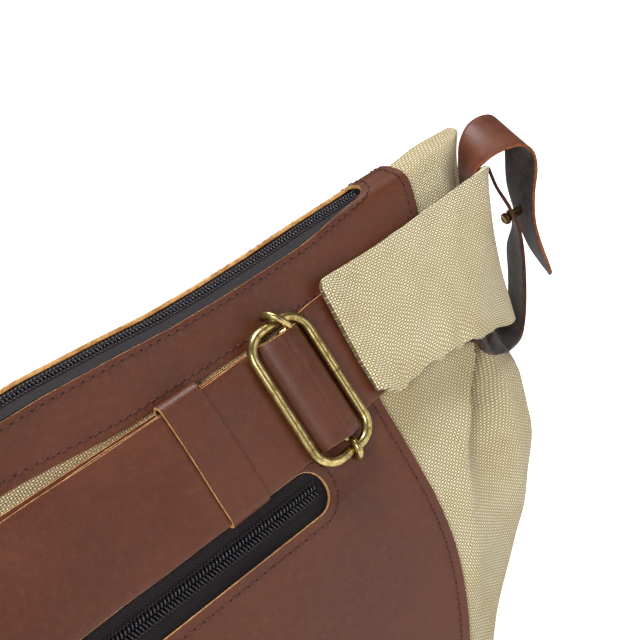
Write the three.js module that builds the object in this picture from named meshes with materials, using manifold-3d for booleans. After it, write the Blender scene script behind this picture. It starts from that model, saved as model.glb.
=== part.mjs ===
// Hip bag: canvas body with a leather top band and zip, a leather front pocket panel with its own zip,
// and a closed belt (leather strap in front, wide canvas behind) held by a leather loop at each end.
// Frame: X along the bag, the front faces -Y, +Z up, origin at the middle of the flat base.
import * as THREE from "three";
import { mergeVertices } from "three/addons/utils/BufferGeometryUtils.js";
import Module from "manifold-3d";

// Driving dimensions, in millimetres
const HALF_LENGTH = 168;
const HEIGHT = 148.7;
const END_RISE = 3.8;
const BACK_Y = 38;
const FRONT_TOP_Y = 22;
const FRONT_TOP_Z = HEIGHT + 1.3;
const FRONT_LEAN = 0.404;
const CANVAS_WALL = 2.0;
const LEATHER = 1.4;
const GAP = 0.3;
const SLIVER = 0.01;

const BAND_HALF = 135.5;
const BAND_LOW_Z = HEIGHT - 15.2;
const BAND_CORNER = 14;
const ZIP_Y = 28.5;
const ZIP_Z = HEIGHT - 1.7;
const ZIP_HALF = 122;
const ZIP_NEAR = 9.2;
const ZIP_FAR = 4.6;
const ZIP_TILT = 0.11;
const CANVAS_NEAR = 6.6;
const CANVAS_FAR = 4.6;
const COIL_WIDTH = 5.8;
const COIL_HEIGHT = 1.5;
const TAPE = 0.9;

const FRONT_ZIP_Z = HEIGHT - 61.7;
const FRONT_ZIP_HALF = 50;
const FRONT_ZIP_WIDTH = 11;

const TOP_PULL = 17;
const TOP_SLIDER_IN = 20;
const FRONT_PULL = 22;
const FRONT_SLIDER_IN = 9;
const STRAP_WIDTH = 36.8;
const STRAP_TILT = 0.014;
const SLIDER_X = 60.4;
const SLIDER_Z = HEIGHT - 36.7;
const SLIDER_DROP = 0.5;
const SLIDER_LONG = 44.8;
const SLIDER_SHORT = 22.2;
const SLIDER_CORNER = 7;
const WIRE_R = 1.6;
const BAR_R = 1.1;
const BAR_S = 0.8;
const KEEPER_X = -36.9;
const KEEPER_WIDTH = 13.8;
const KEEPER_LEATHER = 1.1;
// The ring's left bar stands at this share of HALF_LENGTH, left of the middle; s along the strap
const RING_AT = 0.5095238095238095;
const RING_SHORT = 20;
const RING_LEFT = -HALF_LENGTH * RING_AT - SLIDER_X;
const RING_RIGHT = RING_LEFT + RING_SHORT;
const RING_LONG = 48;
const RING_CORNER = 4.5;
const LOOP_LEATHER = 1.7;
const BELT_CANVAS = 2.2;

// Layer heights above the leaning front plane, from the gaps and thicknesses
const PANEL_OUT = GAP + LEATHER;
const KEEPER_LOW = PANEL_OUT + GAP;
const INNER_N = PANEL_OUT + GAP + LEATHER / 2;
const OUTER_N = INNER_N + LEATHER + GAP;
const KEEPER_LIFT = KEEPER_LEATHER + GAP;
const LEFT_BAR_N = OUTER_N + LEATHER / 2 + GAP + WIRE_R;
const RIGHT_BAR_N = INNER_N + LEATHER / 2 + 2 * GAP + WIRE_R;
const MID_BAR_N = (LEFT_BAR_N + RIGHT_BAR_N) / 2;
const WRAP_R = BAR_R + GAP + LEATHER / 2;
const RING_N = PANEL_OUT + GAP + LEATHER + 2 * GAP + WIRE_R;

const COLOURS = {
  canvas: [0xc8b991, 0.95, 0],
  leather: [0x6e3c28, 0.5, 0],
  flesh: [0x5e3424, 0.6, 0],
  brass: [0xaa8c3c, 0.35, 1],
  tape: [0x322830, 0.9, 0],
  coil: [0x141316, 0.35, 0],
};

const wasm = await Module();
wasm.setup();

// Solids and geometry helpers

function toSolid(geometry) {
  const bare = geometry.clone();
  bare.deleteAttribute("normal");
  bare.deleteAttribute("uv");
  const merged = mergeVertices(bare, 1e-4);
  return new wasm.Manifold(
    new wasm.Mesh({
      numProp: 3,
      vertProperties: Float32Array.from(merged.attributes.position.array),
      triVerts: Uint32Array.from(merged.index.array),
    }),
  );
}

function toGeometry(solid) {
  const mesh = solid.simplify(SLIVER).getMesh();
  const geometry = new THREE.BufferGeometry();
  geometry.setAttribute("position", new THREE.BufferAttribute(mesh.vertProperties, 3));
  geometry.setIndex(new THREE.BufferAttribute(mesh.triVerts, 1));
  return geometry;
}

// A closed skin over rings of equal count, fanned shut at both ends.
function loft(rings) {
  const count = rings[0].length;
  const points = rings.flat();
  const faces = [];
  for (let r = 0; r + 1 < rings.length; r += 1) {
    for (let i = 0; i < count; i += 1) {
      const j = (i + 1) % count;
      const a = r * count + i;
      const b = r * count + j;
      faces.push([a, b, b + count], [a, b + count, a + count]);
    }
  }
  const centre = (ring) =>
    ring.reduce((sum, p) => sum.add(p), new THREE.Vector3()).multiplyScalar(1 / ring.length);
  const low = points.push(centre(rings[0])) - 1;
  const high = points.push(centre(rings[rings.length - 1])) - 1;
  const top = (rings.length - 1) * count;
  for (let i = 0; i < count; i += 1) {
    const j = (i + 1) % count;
    faces.push([low, j, i], [high, top + i, top + j]);
  }
  return indexed(points, faces);
}

function indexed(points, faces) {
  const geometry = new THREE.BufferGeometry();
  geometry.setAttribute(
    "position",
    new THREE.Float32BufferAttribute(points.flatMap((p) => [p.x, p.y, p.z]), 3),
  );
  geometry.setIndex(faces.flat());
  return geometry;
}

// A sheet of one thickness; each row is a line of points across it.
function sheet(rows, thickness) {
  const rings = rows.map((row, r) => {
    const before = rows[Math.max(r - 1, 0)];
    const after = rows[Math.min(r + 1, rows.length - 1)];
    const top = [];
    const under = [];
    row.forEach((point, k) => {
      const along = after[k].clone().sub(before[k]);
      const side = row[Math.min(k + 1, row.length - 1)].clone().sub(row[Math.max(k - 1, 0)]);
      const normal = along.cross(side).normalize().multiplyScalar(thickness / 2);
      top.push(point.clone().add(normal));
      under.unshift(point.clone().sub(normal));
    });
    return [...top, ...under];
  });
  return outward(loft(rings));
}

// Points across a row from its first to its last edge point; dip pushes the middle along an offset.
function across(first, last, count, dip = null) {
  return Array.from({ length: count + 1 }, (_, k) => {
    const share = k / count;
    const point = first.clone().lerp(last, share);
    return dip ? point.addScaledVector(dip, Math.sin(Math.PI * share ** 0.6)) : point;
  });
}

// Turns the faces round when the skin came out inside out.
function outward(geometry) {
  const p = geometry.attributes.position;
  const index = geometry.index.array;
  let volume = 0;
  const [a, b, c] = [new THREE.Vector3(), new THREE.Vector3(), new THREE.Vector3()];
  for (let i = 0; i < index.length; i += 3) {
    a.fromBufferAttribute(p, index[i]);
    b.fromBufferAttribute(p, index[i + 1]);
    c.fromBufferAttribute(p, index[i + 2]);
    volume += a.dot(b.cross(c));
  }
  if (volume < 0) {
    for (let i = 0; i < index.length; i += 3) {
      [index[i + 1], index[i + 2]] = [index[i + 2], index[i + 1]];
    }
  }
  return geometry;
}

function curveThrough(points, closed = false) {
  return new THREE.CatmullRomCurve3(points, closed, "centripetal");
}

// A place given as shares of the bag's half length, back depth and height
function atShares(x, y, z) {
  return new THREE.Vector3(x * HALF_LENGTH, y * BACK_Y, z * HEIGHT);
}

function vectors(table) {
  return table.map((row) => atShares(row.x, row.y, row.z));
}

// A round wire along a curve, closed on itself or shut at the ends.
function wire(curve, radius, steps, sides, closed) {
  const frames = curve.computeFrenetFrames(steps, closed);
  const rings = [];
  for (let i = 0; i < (closed ? steps : steps + 1); i += 1) {
    const centre = curve.getPointAt(i / steps);
    const ring = [];
    for (let k = 0; k < sides; k += 1) {
      const angle = (2 * Math.PI * k) / sides;
      ring.push(
        centre
          .clone()
          .addScaledVector(frames.normals[i], radius * Math.cos(angle))
          .addScaledVector(frames.binormals[i], radius * Math.sin(angle)),
      );
    }
    rings.push(ring);
  }
  if (!closed) {
    return outward(loft(rings));
  }
  const points = rings.flat();
  const faces = [];
  for (let r = 0; r < rings.length; r += 1) {
    const next = ((r + 1) % rings.length) * sides;
    for (let k = 0; k < sides; k += 1) {
      const l = (k + 1) % sides;
      faces.push([r * sides + k, r * sides + l, next + l], [r * sides + k, next + l, next + k]);
    }
  }
  return outward(indexed(points, faces));
}

function prism(outline, depth, holes = []) {
  const shape = new THREE.Shape(outline.map((p) => new THREE.Vector2(...p)));
  for (const hole of holes) {
    shape.holes.push(new THREE.Path(hole.map((p) => new THREE.Vector2(...p))));
  }
  return new THREE.ExtrudeGeometry(shape, { depth, bevelEnabled: false, curveSegments: 8 });
}

// A rounded outline of four corners, one radius for each, from the lower left counter-clockwise.
function roundedOutline(left, low, right, high, radii, steps = 4) {
  const corners = [
    [left + radii[0], low + radii[0], Math.PI],
    [right - radii[1], low + radii[1], 1.5 * Math.PI],
    [right - radii[2], high - radii[2], 0],
    [left + radii[3], high - radii[3], 0.5 * Math.PI],
  ];
  return corners.flatMap(([x, y, start], i) =>
    Array.from({ length: steps + 1 }, (_, k) => {
      const angle = start + (k / steps) * (Math.PI / 2);
      return [x + radii[i] * Math.cos(angle), y + radii[i] * Math.sin(angle)];
    }),
  );
}

function mesh(name, geometry, look) {
  const [color, roughness, metalness] = COLOURS[look];
  const material = new THREE.MeshStandardMaterial({ color, roughness, metalness });
  const part = new THREE.Mesh(geometry, material);
  part.name = name;
  return part;
}

function frontY(z) {
  return FRONT_TOP_Y - (FRONT_TOP_Z - z) * FRONT_LEAN;
}

// Canvas body: level sections from the base up, with the pinched and folded ends

// z = share of HEIGHT, half = share of HALF_LENGTH, end = length of the rounded end,
// front and back = inset from the planes
const SECTIONS = [
  { z: 0, half: 0.38, end: 30, front: 6, back: 5 },
  { z: 0.0168, half: 0.43, end: 34, front: 1.8, back: 1.6 },
  { z: 0.0538, half: 0.5, end: 40, front: 0, back: 0 },
  { z: 0.121, half: 0.575, end: 46, front: 0, back: 0 },
  { z: 0.2017, half: 0.695, end: 52, front: 0, back: 0 },
  { z: 0.2892, half: 0.81, end: 54, front: 0, back: 0 },
  { z: 0.3766, half: 0.872, end: 54, front: 0, back: 0 },
  { z: 0.464, half: 0.895, end: 53, front: 0, back: 0 },
  { z: 0.5447, half: 0.878, end: 49, front: 0, back: 0 },
  { z: 0.6254, half: 0.86, end: 40, front: 0, back: 0 },
  { z: 0.7263, half: 0.864, end: 30, front: 0, back: 0 },
  { z: 0.8204, half: 0.895, end: 22, front: 0, back: 0 },
  { z: 0.9011, half: 0.937, end: 17, front: 0, back: 0 },
  { z: 0.9482, half: 0.962, end: 15, front: 0, back: 0 },
  { z: 0.9792, half: 0.99, end: 13, front: 0, back: 2.2 },
  { z: 0.9899, half: 1.005, end: 12, front: 1, back: 5 },
  { z: 0.9966, half: 1.01, end: 10, front: 4.6, back: 7.4 },
  { z: 1, half: 1, end: 8, front: 6.2, back: 8.4 },
];
// Folds of an end: turn = degrees round the end from its tip toward the front (minus),
// z and tall = shares of HEIGHT, out = depth
const END_FOLDS = [
  { turn: -84, width: 9, z: 0.444, tall: 0.175, out: 2.2 },
  { turn: -62, width: 11, z: 0.551, tall: 0.134, out: -7.5 },
  { turn: -40, width: 9, z: 0.444, tall: 0.148, out: 1.6 },
  { turn: -22, width: 9, z: 0.592, tall: 0.094, out: -3.0 },
  { turn: -38, width: 14, z: 0.202, tall: 0.108, out: 1.5 },
  { turn: 20, width: 12, z: 0.538, tall: 0.161, out: -2.5 },
  { turn: 48, width: 12, z: 0.444, tall: 0.175, out: 2.0 },
  { turn: -50, width: 22, z: 0.888, tall: 0.081, out: -1.6 },
];
const END_STEPS = 16;
const SIDE_SHARES = [0.045, 0.5, 0.955];
// The ridge narrows no further than this to either side
const RIDGE_DEPTH = 0.8;

function foldDepth(turn, z) {
  return END_FOLDS.reduce((sum, fold) => {
    const a = (turn - fold.turn) / fold.width;
    const h = (z / HEIGHT - fold.z) / fold.tall;
    return sum + fold.out * Math.exp(-a * a - h * h);
  }, 0);
}

function bodyRing(section, grow) {
  const out = grow;
  const z = section.z * HEIGHT;
  const rise = Math.cos(Math.atan(FRONT_LEAN));
  const front = frontY(z) + section.front - out / rise;
  const back = BACK_Y - section.back + out;
  const middle = (front + back) / 2;
  const depth = Math.max((back - front) / 2, RIDGE_DEPTH);
  const reach = HALF_LENGTH * section.half + out;
  const end = section.end + out;
  const ring = [];
  for (let i = 0; i <= END_STEPS; i += 1) {
    const turn = -90 + (180 * i) / END_STEPS;
    const a = THREE.MathUtils.degToRad(turn);
    const fade = Math.cos(a) ** 0.25;
    const fold = foldDepth(turn, z) * fade;
    ring.push([reach - end + (end + fold) * Math.cos(a), middle + (depth + fold) * Math.sin(a)]);
  }
  const straight = (from, to) =>
    SIDE_SHARES.map((_, k) => {
      const share = SIDE_SHARES[k];
      return [from[0] + (to[0] - from[0]) * share, from[1] + (to[1] - from[1]) * share];
    });
  const mirrored = ring.map(([x, y]) => [-x, y]).reverse();
  const all = [
    ...ring,
    ...straight(ring[END_STEPS], mirrored[0]),
    ...mirrored,
    ...straight(mirrored[END_STEPS], ring[0]),
  ];
  return all.map(([x, y]) => [x, y, z + endRise(x, z)]);
}

// The canvas stands a little higher past the ends of the leather band.
const RISE_FROM = 0.901;
function endRise(x, z) {
  const beyond = THREE.MathUtils.smoothstep(Math.abs(x) / HALF_LENGTH, 0.798, 0.917);
  return END_RISE * beyond * THREE.MathUtils.clamp((z / HEIGHT - RISE_FROM) / (1 - RISE_FROM), 0, 1);
}

function bodySkin(grow) {
  const rings = SECTIONS.map((section) => bodyRing(section, grow).map((p) => new THREE.Vector3(...p)));
  const first = rings[0];
  const last = rings[rings.length - 1];
  const drop = (ring, by) => ring.forEach((p) => p.setZ(p.z + by));
  if (grow < 0) {
    drop(first, -grow);
    drop(rings[1], -grow * 0.5);
  }
  if (grow > 0) {
    drop(first, -grow);
  }
  drop(last, grow);
  drop(rings[rings.length - 2], grow * 0.9);
  drop(rings[rings.length - 3], grow * 0.7);
  drop(rings[rings.length - 4], grow * 0.4);
  return toSolid(outward(loft(rings)));
}

// Plan prism along Z for a zip slot; near and far are the reaches either side of the chain.
function slotPrism(half, near, far, low, high) {
  const round = (near + far) / 2 - 0.4;
  const outline = roundedOutline(-half, ZIP_Y - near, half, ZIP_Y + far, [round, round, round, round]);
  return toSolid(prism(outline, high - low).translate(0, 0, low));
}

// Places x, slope distance and outward height on the leaning front plane.
const FRONT_FRAME = new THREE.Matrix4().makeBasis(
  new THREE.Vector3(1, 0, 0),
  new THREE.Vector3(0, FRONT_LEAN, 1).normalize(),
  new THREE.Vector3(0, -1, FRONT_LEAN).normalize(),
);
const SLOPE = Math.hypot(1, FRONT_LEAN);
function slopeOf(z) {
  return (z - FRONT_TOP_Z) * SLOPE;
}
FRONT_FRAME.setPosition(0, FRONT_TOP_Y, FRONT_TOP_Z);

function onFront(x, slope, out) {
  return new THREE.Vector3(x, slope, out).applyMatrix4(FRONT_FRAME);
}

const canvasSolid = bodySkin(0);
const frontZipCut = toSolid(
  prism(
    roundedOutline(
      -FRONT_ZIP_HALF - 2,
      slopeOf(FRONT_ZIP_Z) - FRONT_ZIP_WIDTH / 2 - 2,
      FRONT_ZIP_HALF + 2,
      slopeOf(FRONT_ZIP_Z) + FRONT_ZIP_WIDTH / 2 + 2,
      [7.4, 7.4, 7.4, 7.4],
    ),
    5,
  )
    .translate(0, 0, -4)
    .applyMatrix4(FRONT_FRAME),
);
const canvasBody = canvasSolid
  .subtract(bodySkin(-CANVAS_WALL))
  .subtract(slotPrism(ZIP_HALF + 1.5, CANVAS_NEAR, CANVAS_FAR, BAND_LOW_Z, HEIGHT + 20))
  .subtract(frontZipCut);

// Leather top band over the ridge, cut out for the zip

const bandOutline = roundedOutline(
  -BAND_HALF,
  BAND_LOW_Z,
  BAND_HALF,
  HEIGHT + 20,
  [BAND_CORNER, BAND_CORNER, 1, 1],
);
const bandRegion = toSolid(
  prism(bandOutline, 160)
    .rotateX(Math.PI / 2)
    .translate(0, 80, 0),
);
const topBand = bodySkin(GAP + LEATHER)
  .subtract(bodySkin(GAP))
  .intersect(bandRegion)
  .subtract(slotPrism(ZIP_HALF, ZIP_NEAR, ZIP_FAR, BAND_LOW_Z, HEIGHT + 20));

// Zip parts lie in a slot: a tape, a flat coil chain and a slider with its pull

function zipFrame(group, centre, tilt) {
  group.position.copy(centre);
  group.rotation.x = tilt;
}

function tapeGeometry(half, width) {
  const round = width / 2 - 0.1;
  const outline = roundedOutline(-half, -width / 2, half, width / 2, [round, round, round, round], 4);
  return prism(outline, TAPE);
}

function coilGeometry(half) {
  const outline = roundedOutline(-COIL_WIDTH / 2, 0, COIL_WIDTH / 2, COIL_HEIGHT, [0.3, 0.3, 0.6, 0.6], 2);
  return prism(outline, 2 * half)
    .rotateX(Math.PI / 2)
    .translate(0, half, 0)
    .rotateZ(-Math.PI / 2);
}

// The body of the slider straddles the chain; its pull hangs to the left and lies flat.
function sliderGeometry(pull) {
  const height = 2.6;
  const body = prism(roundedOutline(-5, -4.2, 5, 4.2, [3.2, 1.6, 1.6, 3.2], 3), height);
  const bridge = new THREE.BoxGeometry(6.4, 2.4, 1.6).translate(-0.6, 0, height + 0.7);
  const tab = prism(roundedOutline(-pull, -2.6, -2.4, 2.6, [2.4, 1.4, 1.4, 2.4], 3), 1.1);
  tab.translate(0, 0, height - 0.2);
  return toGeometry(toSolid(body).add(toSolid(bridge)).add(toSolid(tab)));
}

const topZip = new THREE.Group();
zipFrame(topZip, new THREE.Vector3(0, ZIP_Y, ZIP_Z), ZIP_TILT);
const topTapeWidth = CANVAS_NEAR + CANVAS_FAR - 2 * GAP;
const topTape = tapeGeometry(ZIP_HALF + 1.1, topTapeWidth)
  .translate(0, (CANVAS_FAR - CANVAS_NEAR) / 2, -TAPE);
topZip.add(mesh("top_zip_tape", topTape, "tape"));
topZip.add(mesh("top_zip_coil", coilGeometry(ZIP_HALF - 2).translate(0, 0, GAP), "coil"));
const topSlider = sliderGeometry(TOP_PULL).translate(-ZIP_HALF + TOP_SLIDER_IN, 0, GAP + COIL_HEIGHT + GAP);
topZip.add(mesh("top_zip_slider", topSlider, "brass"));

// Front pocket panel: a flat leather plate with a level top and swept sides

// z = share of HEIGHT, half = half width there as a share of HALF_LENGTH
const PANEL_EDGE = [
  { z: 0.881, half: 0.497 },
  { z: 0.7397, half: 0.4917 },
  { z: 0.6187, half: 0.4857 },
  { z: 0.5044, half: 0.4833 },
  { z: 0.4169, half: 0.4774 },
  { z: 0.3362, half: 0.4619 },
  { z: 0.269, half: 0.4369 },
  { z: 0.1883, half: 0.3929 },
  { z: 0.1143, half: 0.3363 },
  { z: 0.0706, half: 0.2679 },
  { z: 0.0538, half: 0.1964 },
];
const edgeRight = PANEL_EDGE.map((row) => [row.half * HALF_LENGTH, slopeOf(row.z * HEIGHT)]);
const panelOutline = [...edgeRight.map(([x, v]) => [-x, v]), ...edgeRight.reverse()];
const zipHole = roundedOutline(
  -FRONT_ZIP_HALF,
  slopeOf(FRONT_ZIP_Z) - FRONT_ZIP_WIDTH / 2,
  FRONT_ZIP_HALF,
  slopeOf(FRONT_ZIP_Z) + FRONT_ZIP_WIDTH / 2,
  [5.4, 5.4, 5.4, 5.4],
  5,
).reverse();
const frontPanel = prism(panelOutline, LEATHER, [zipHole]).translate(0, 0, GAP).applyMatrix4(FRONT_FRAME);

const frontZip = new THREE.Group();
frontZip.applyMatrix4(FRONT_FRAME.clone().multiply(
  new THREE.Matrix4().makeTranslation(0, slopeOf(FRONT_ZIP_Z), 0),
));
const frontTapeWidth = FRONT_ZIP_WIDTH + 3.2;
const frontTape = tapeGeometry(FRONT_ZIP_HALF + 1.5, frontTapeWidth).translate(0, 0, -TAPE - 0.5);
frontZip.add(mesh("front_zip_tape", frontTape, "tape"));
const frontCoil = coilGeometry(FRONT_ZIP_HALF - 2).translate(0, 0, GAP - 0.5);
frontZip.add(mesh("front_zip_coil", frontCoil, "coil"));
const frontSliderGeometry = sliderGeometry(FRONT_PULL)
  .translate(-FRONT_ZIP_HALF + FRONT_SLIDER_IN, 0, GAP - 0.5 + COIL_HEIGHT + GAP);
frontZip.add(mesh("front_zip_slider", frontSliderGeometry, "brass"));

// Strap rig: its own frame on the front plane, centred on the slider, s along the strap

const strapRig = new THREE.Group();
const rigMatrix = FRONT_FRAME.clone()
  .multiply(new THREE.Matrix4().makeTranslation(SLIDER_X, slopeOf(SLIDER_Z), 0))
  .multiply(new THREE.Matrix4().makeRotationZ(STRAP_TILT));
strapRig.applyMatrix4(rigMatrix);

function arc(centreS, centreN, radius, from, to, steps) {
  return Array.from({ length: steps + 1 }, (_, k) => {
    const a = THREE.MathUtils.degToRad(from + ((to - from) * k) / steps);
    return { s: centreS + radius * Math.cos(a), n: centreN + radius * Math.sin(a) };
  });
}

// Route of the leather strap, s along and n out: from its sewn end under the right bar, over the middle
// bar, under the left bar, to the ring, round it and back beneath to its end round the middle bar.
const HALF_SHORT = SLIDER_SHORT / 2;
const OVER_R = WRAP_R + LEATHER + GAP;
const RING_R = WIRE_R + 2 * GAP + LEATHER / 2;
const NEAR_KEEPER = KEEPER_WIDTH / 2 + 2;
const STRAP_ROUTE = [
  { s: 34, n: INNER_N },
  { s: 24, n: INNER_N },
  { s: HALF_SHORT + 2.5, n: INNER_N },
  { s: HALF_SHORT - 1.2, n: INNER_N + 0.05 },
  { s: 6.6, n: INNER_N + 1.9 },
  ...arc(BAR_S, MID_BAR_N, OVER_R, 10, 120, 7),
  { s: -5.4, n: MID_BAR_N + 1.3 },
  { s: -8.2, n: OUTER_N + 0.4 },
  { s: -HALF_SHORT, n: OUTER_N },
  { s: -HALF_SHORT - 4, n: OUTER_N },
  { s: KEEPER_X + NEAR_KEEPER, n: OUTER_N + KEEPER_LIFT },
  { s: KEEPER_X - NEAR_KEEPER, n: OUTER_N + KEEPER_LIFT },
  { s: KEEPER_X - 3 * NEAR_KEEPER, n: OUTER_N },
  { s: -100, n: OUTER_N },
  { s: RING_RIGHT + 12, n: OUTER_N + 0.6 },
  ...arc(RING_RIGHT, RING_N, RING_R, 90, 270, 8),
  { s: RING_RIGHT + 12, n: INNER_N },
  { s: -100, n: INNER_N },
  { s: KEEPER_X - 3 * NEAR_KEEPER, n: INNER_N },
  { s: KEEPER_X - NEAR_KEEPER, n: INNER_N + KEEPER_LIFT },
  { s: KEEPER_X + NEAR_KEEPER, n: INNER_N + KEEPER_LIFT },
  { s: -HALF_SHORT - 4, n: INNER_N },
  { s: -8, n: INNER_N },
  { s: -4.4, n: INNER_N + 0.2 },
  ...arc(BAR_S, MID_BAR_N, WRAP_R, 262, 466, 9),
];
const WRAP_ROWS = 10;
const SWING = 0.16;

function strapRows() {
  return STRAP_ROUTE.map(({ s, n }, i) => {
    const wrapEnd = i >= STRAP_ROUTE.length - WRAP_ROWS;
    const half = (wrapEnd ? STRAP_WIDTH - 6 : STRAP_WIDTH) / 2;
    const rise = i < 5 ? SWING * Math.max(s - 9, 0) : 0;
    return across(new THREE.Vector3(s, half + rise, n), new THREE.Vector3(s, -half + rise, n), 1);
  });
}
strapRig.add(mesh("leather_strap", sheet(strapRows(), LEATHER), "leather"));

// Keeper: a leather band round both layers
const keeperTop = OUTER_N + KEEPER_LIFT + LEATHER / 2 + GAP;
const keeperInner = roundedOutline(
  -STRAP_WIDTH / 2 - GAP, KEEPER_LOW + KEEPER_LEATHER, STRAP_WIDTH / 2 + GAP, keeperTop,
  [0.6, 0.6, 0.6, 0.6], 2,
).reverse();
const keeperOuter = roundedOutline(
  -STRAP_WIDTH / 2 - GAP - KEEPER_LEATHER, KEEPER_LOW,
  STRAP_WIDTH / 2 + GAP + KEEPER_LEATHER, keeperTop + KEEPER_LEATHER,
  [1.4, 1.4, 1.4, 1.4], 2,
);
const keeper = prism(keeperOuter, KEEPER_WIDTH, [keeperInner])
  .translate(0, 0, -KEEPER_WIDTH / 2)
  .rotateX(Math.PI / 2)
  .rotateZ(Math.PI / 2)
  .translate(KEEPER_X, 0, 0);
strapRig.add(mesh("strap_keeper", keeper, "leather"));

// A rounded rectangle as a closed curve, long side across the strap
function frameCurve(short, long, corner, tilt, centreS, centreN) {
  const steps = 5;
  const points = roundedOutline(
    -short / 2, -long / 2, short / 2, long / 2, [corner, corner, corner, corner], steps,
  ).map(([s, v]) =>
    new THREE.Vector3(centreS + s * Math.cos(tilt), v - SLIDER_DROP, centreN - s * Math.sin(tilt)),
  );
  return new THREE.CatmullRomCurve3(points, true, "centripetal");
}

const SLIDER_LEAN = Math.atan2(LEFT_BAR_N - RIGHT_BAR_N, SLIDER_SHORT);
const sliderCurve = frameCurve(SLIDER_SHORT, SLIDER_LONG, SLIDER_CORNER, SLIDER_LEAN, 0, MID_BAR_N);
strapRig.add(mesh("slider_frame", wire(sliderCurve, WIRE_R, 56, 8, true), "brass"));

// The middle bar: straight under the strap, each end bent over the frame's short side
const HOOK_R = WIRE_R + GAP + BAR_R;
function hookPoints(side) {
  const centre = SLIDER_LONG / 2;
  return [168, 140, 110, 80, 50, 20, -12, -40].map((degrees) => {
    const a = THREE.MathUtils.degToRad(degrees);
    return new THREE.Vector3(
      BAR_S,
      side * (centre + HOOK_R * Math.cos(a)) - SLIDER_DROP,
      MID_BAR_N + HOOK_R * Math.sin(a),
    );
  });
}
const barCurve = curveThrough([
  ...hookPoints(-1).reverse(),
  new THREE.Vector3(BAR_S, -SLIDER_LONG / 2 + HOOK_R + 1.5, MID_BAR_N - 0.1),
  new THREE.Vector3(BAR_S, -8, MID_BAR_N),
  new THREE.Vector3(BAR_S, 8, MID_BAR_N),
  new THREE.Vector3(BAR_S, SLIDER_LONG / 2 - HOOK_R - 1.5, MID_BAR_N - 0.1),
  ...hookPoints(1),
]);
strapRig.add(mesh("slider_bar", wire(barCurve, BAR_R, 44, 6, false), "brass"));

// Ring at the left end of the canvas belt
const ringMiddle = (RING_RIGHT + RING_LEFT) / 2;
const ringCurve = frameCurve(RING_SHORT, RING_LONG, RING_CORNER, 0, ringMiddle, RING_N);
strapRig.add(mesh("strap_ring", wire(ringCurve, WIRE_R, 52, 8, true), "brass"));

// Canvas belt: two edge lines from the right front end round the back to the left front end

// Upper and lower edge of the right half, from its end on the strap to the middle of the back,
// as shares of HALF_LENGTH, BACK_Y and HEIGHT
const BELT_UPPER = [
  { x: 0.4881, y: 0.3, z: 0.9267 },
  { x: 0.5476, y: 0.3053, z: 0.924 },
  { x: 0.625, y: 0.3053, z: 0.9227 },
  { x: 0.756, y: 0.3053, z: 0.928 },
  { x: 0.881, y: 0.2947, z: 0.9375 },
  { x: 0.9583, y: 0.2947, z: 0.9408 },
  { x: 0.9869, y: 0.3421, z: 0.9388 },
  { x: 1.0083, y: 0.4895, z: 0.9213 },
  { x: 1.0238, y: 0.6842, z: 0.9052 },
  { x: 1.0262, y: 0.8947, z: 0.8985 },
  { x: 0.994, y: 1.0789, z: 0.9052 },
  { x: 0.9167, y: 1.1211, z: 0.9146 },
  { x: 0.7024, y: 1.1053, z: 0.928 },
  { x: 0.3571, y: 1.0895, z: 0.9348 },
  { x: 0, y: 1.0895, z: 0.9348 },
];
// dip = how far the middle of the belt is drawn toward the bag
const BELT_LOWER = [
  { x: 0.4792, y: -0.0684, z: 0.6927, dip: 0 },
  { x: 0.5238, y: -0.1263, z: 0.659, dip: 0 },
  { x: 0.5655, y: -0.1158, z: 0.6644, dip: 0 },
  { x: 0.6548, y: -0.1237, z: 0.6624, dip: 0 },
  { x: 0.7262, y: -0.1368, z: 0.6523, dip: 0 },
  { x: 0.7976, y: -0.0526, z: 0.6254, dip: 0 },
  { x: 0.8774, y: 0.0895, z: 0.5958, dip: 2.4 },
  { x: 0.9107, y: 0.2263, z: 0.5783, dip: 4.8 },
  { x: 0.931, y: 0.4474, z: 0.5649, dip: 3.4 },
  { x: 0.944, y: 0.7105, z: 0.5514, dip: 1 },
  { x: 0.9464, y: 1.0158, z: 0.538, dip: 0 },
  { x: 0.8869, y: 1.1158, z: 0.5313, dip: 0 },
  { x: 0.6786, y: 1.1053, z: 0.5245, dip: 0 },
  { x: 0.3393, y: 1.0895, z: 0.5178, dip: 0 },
  { x: 0, y: 1.0895, z: 0.5178, dip: 0 },
];
// Share of the half length where the left front end starts to narrow
const BELT_NARROWS = 0.5476;
const BELT_STEPS = 36;
const BELT_ACROSS = 4;

function beltHalf() {
  const upper = curveThrough(vectors(BELT_UPPER));
  const lower = curveThrough(vectors(BELT_LOWER));
  const dips = curveThrough(BELT_LOWER.map((row, i) => new THREE.Vector3(i, row.dip, 0)));
  return Array.from({ length: BELT_STEPS + 1 }, (_, k) => {
    const share = k / BELT_STEPS;
    const dip = new THREE.Vector3(-dips.getPoint(share).y, 0, 0);
    return across(upper.getPoint(share), lower.getPoint(share), BELT_ACROSS, dip);
  });
}

const flipX = (p) => new THREE.Vector3(-p.x, p.y, p.z);
const rightBelt = beltHalf();
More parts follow.
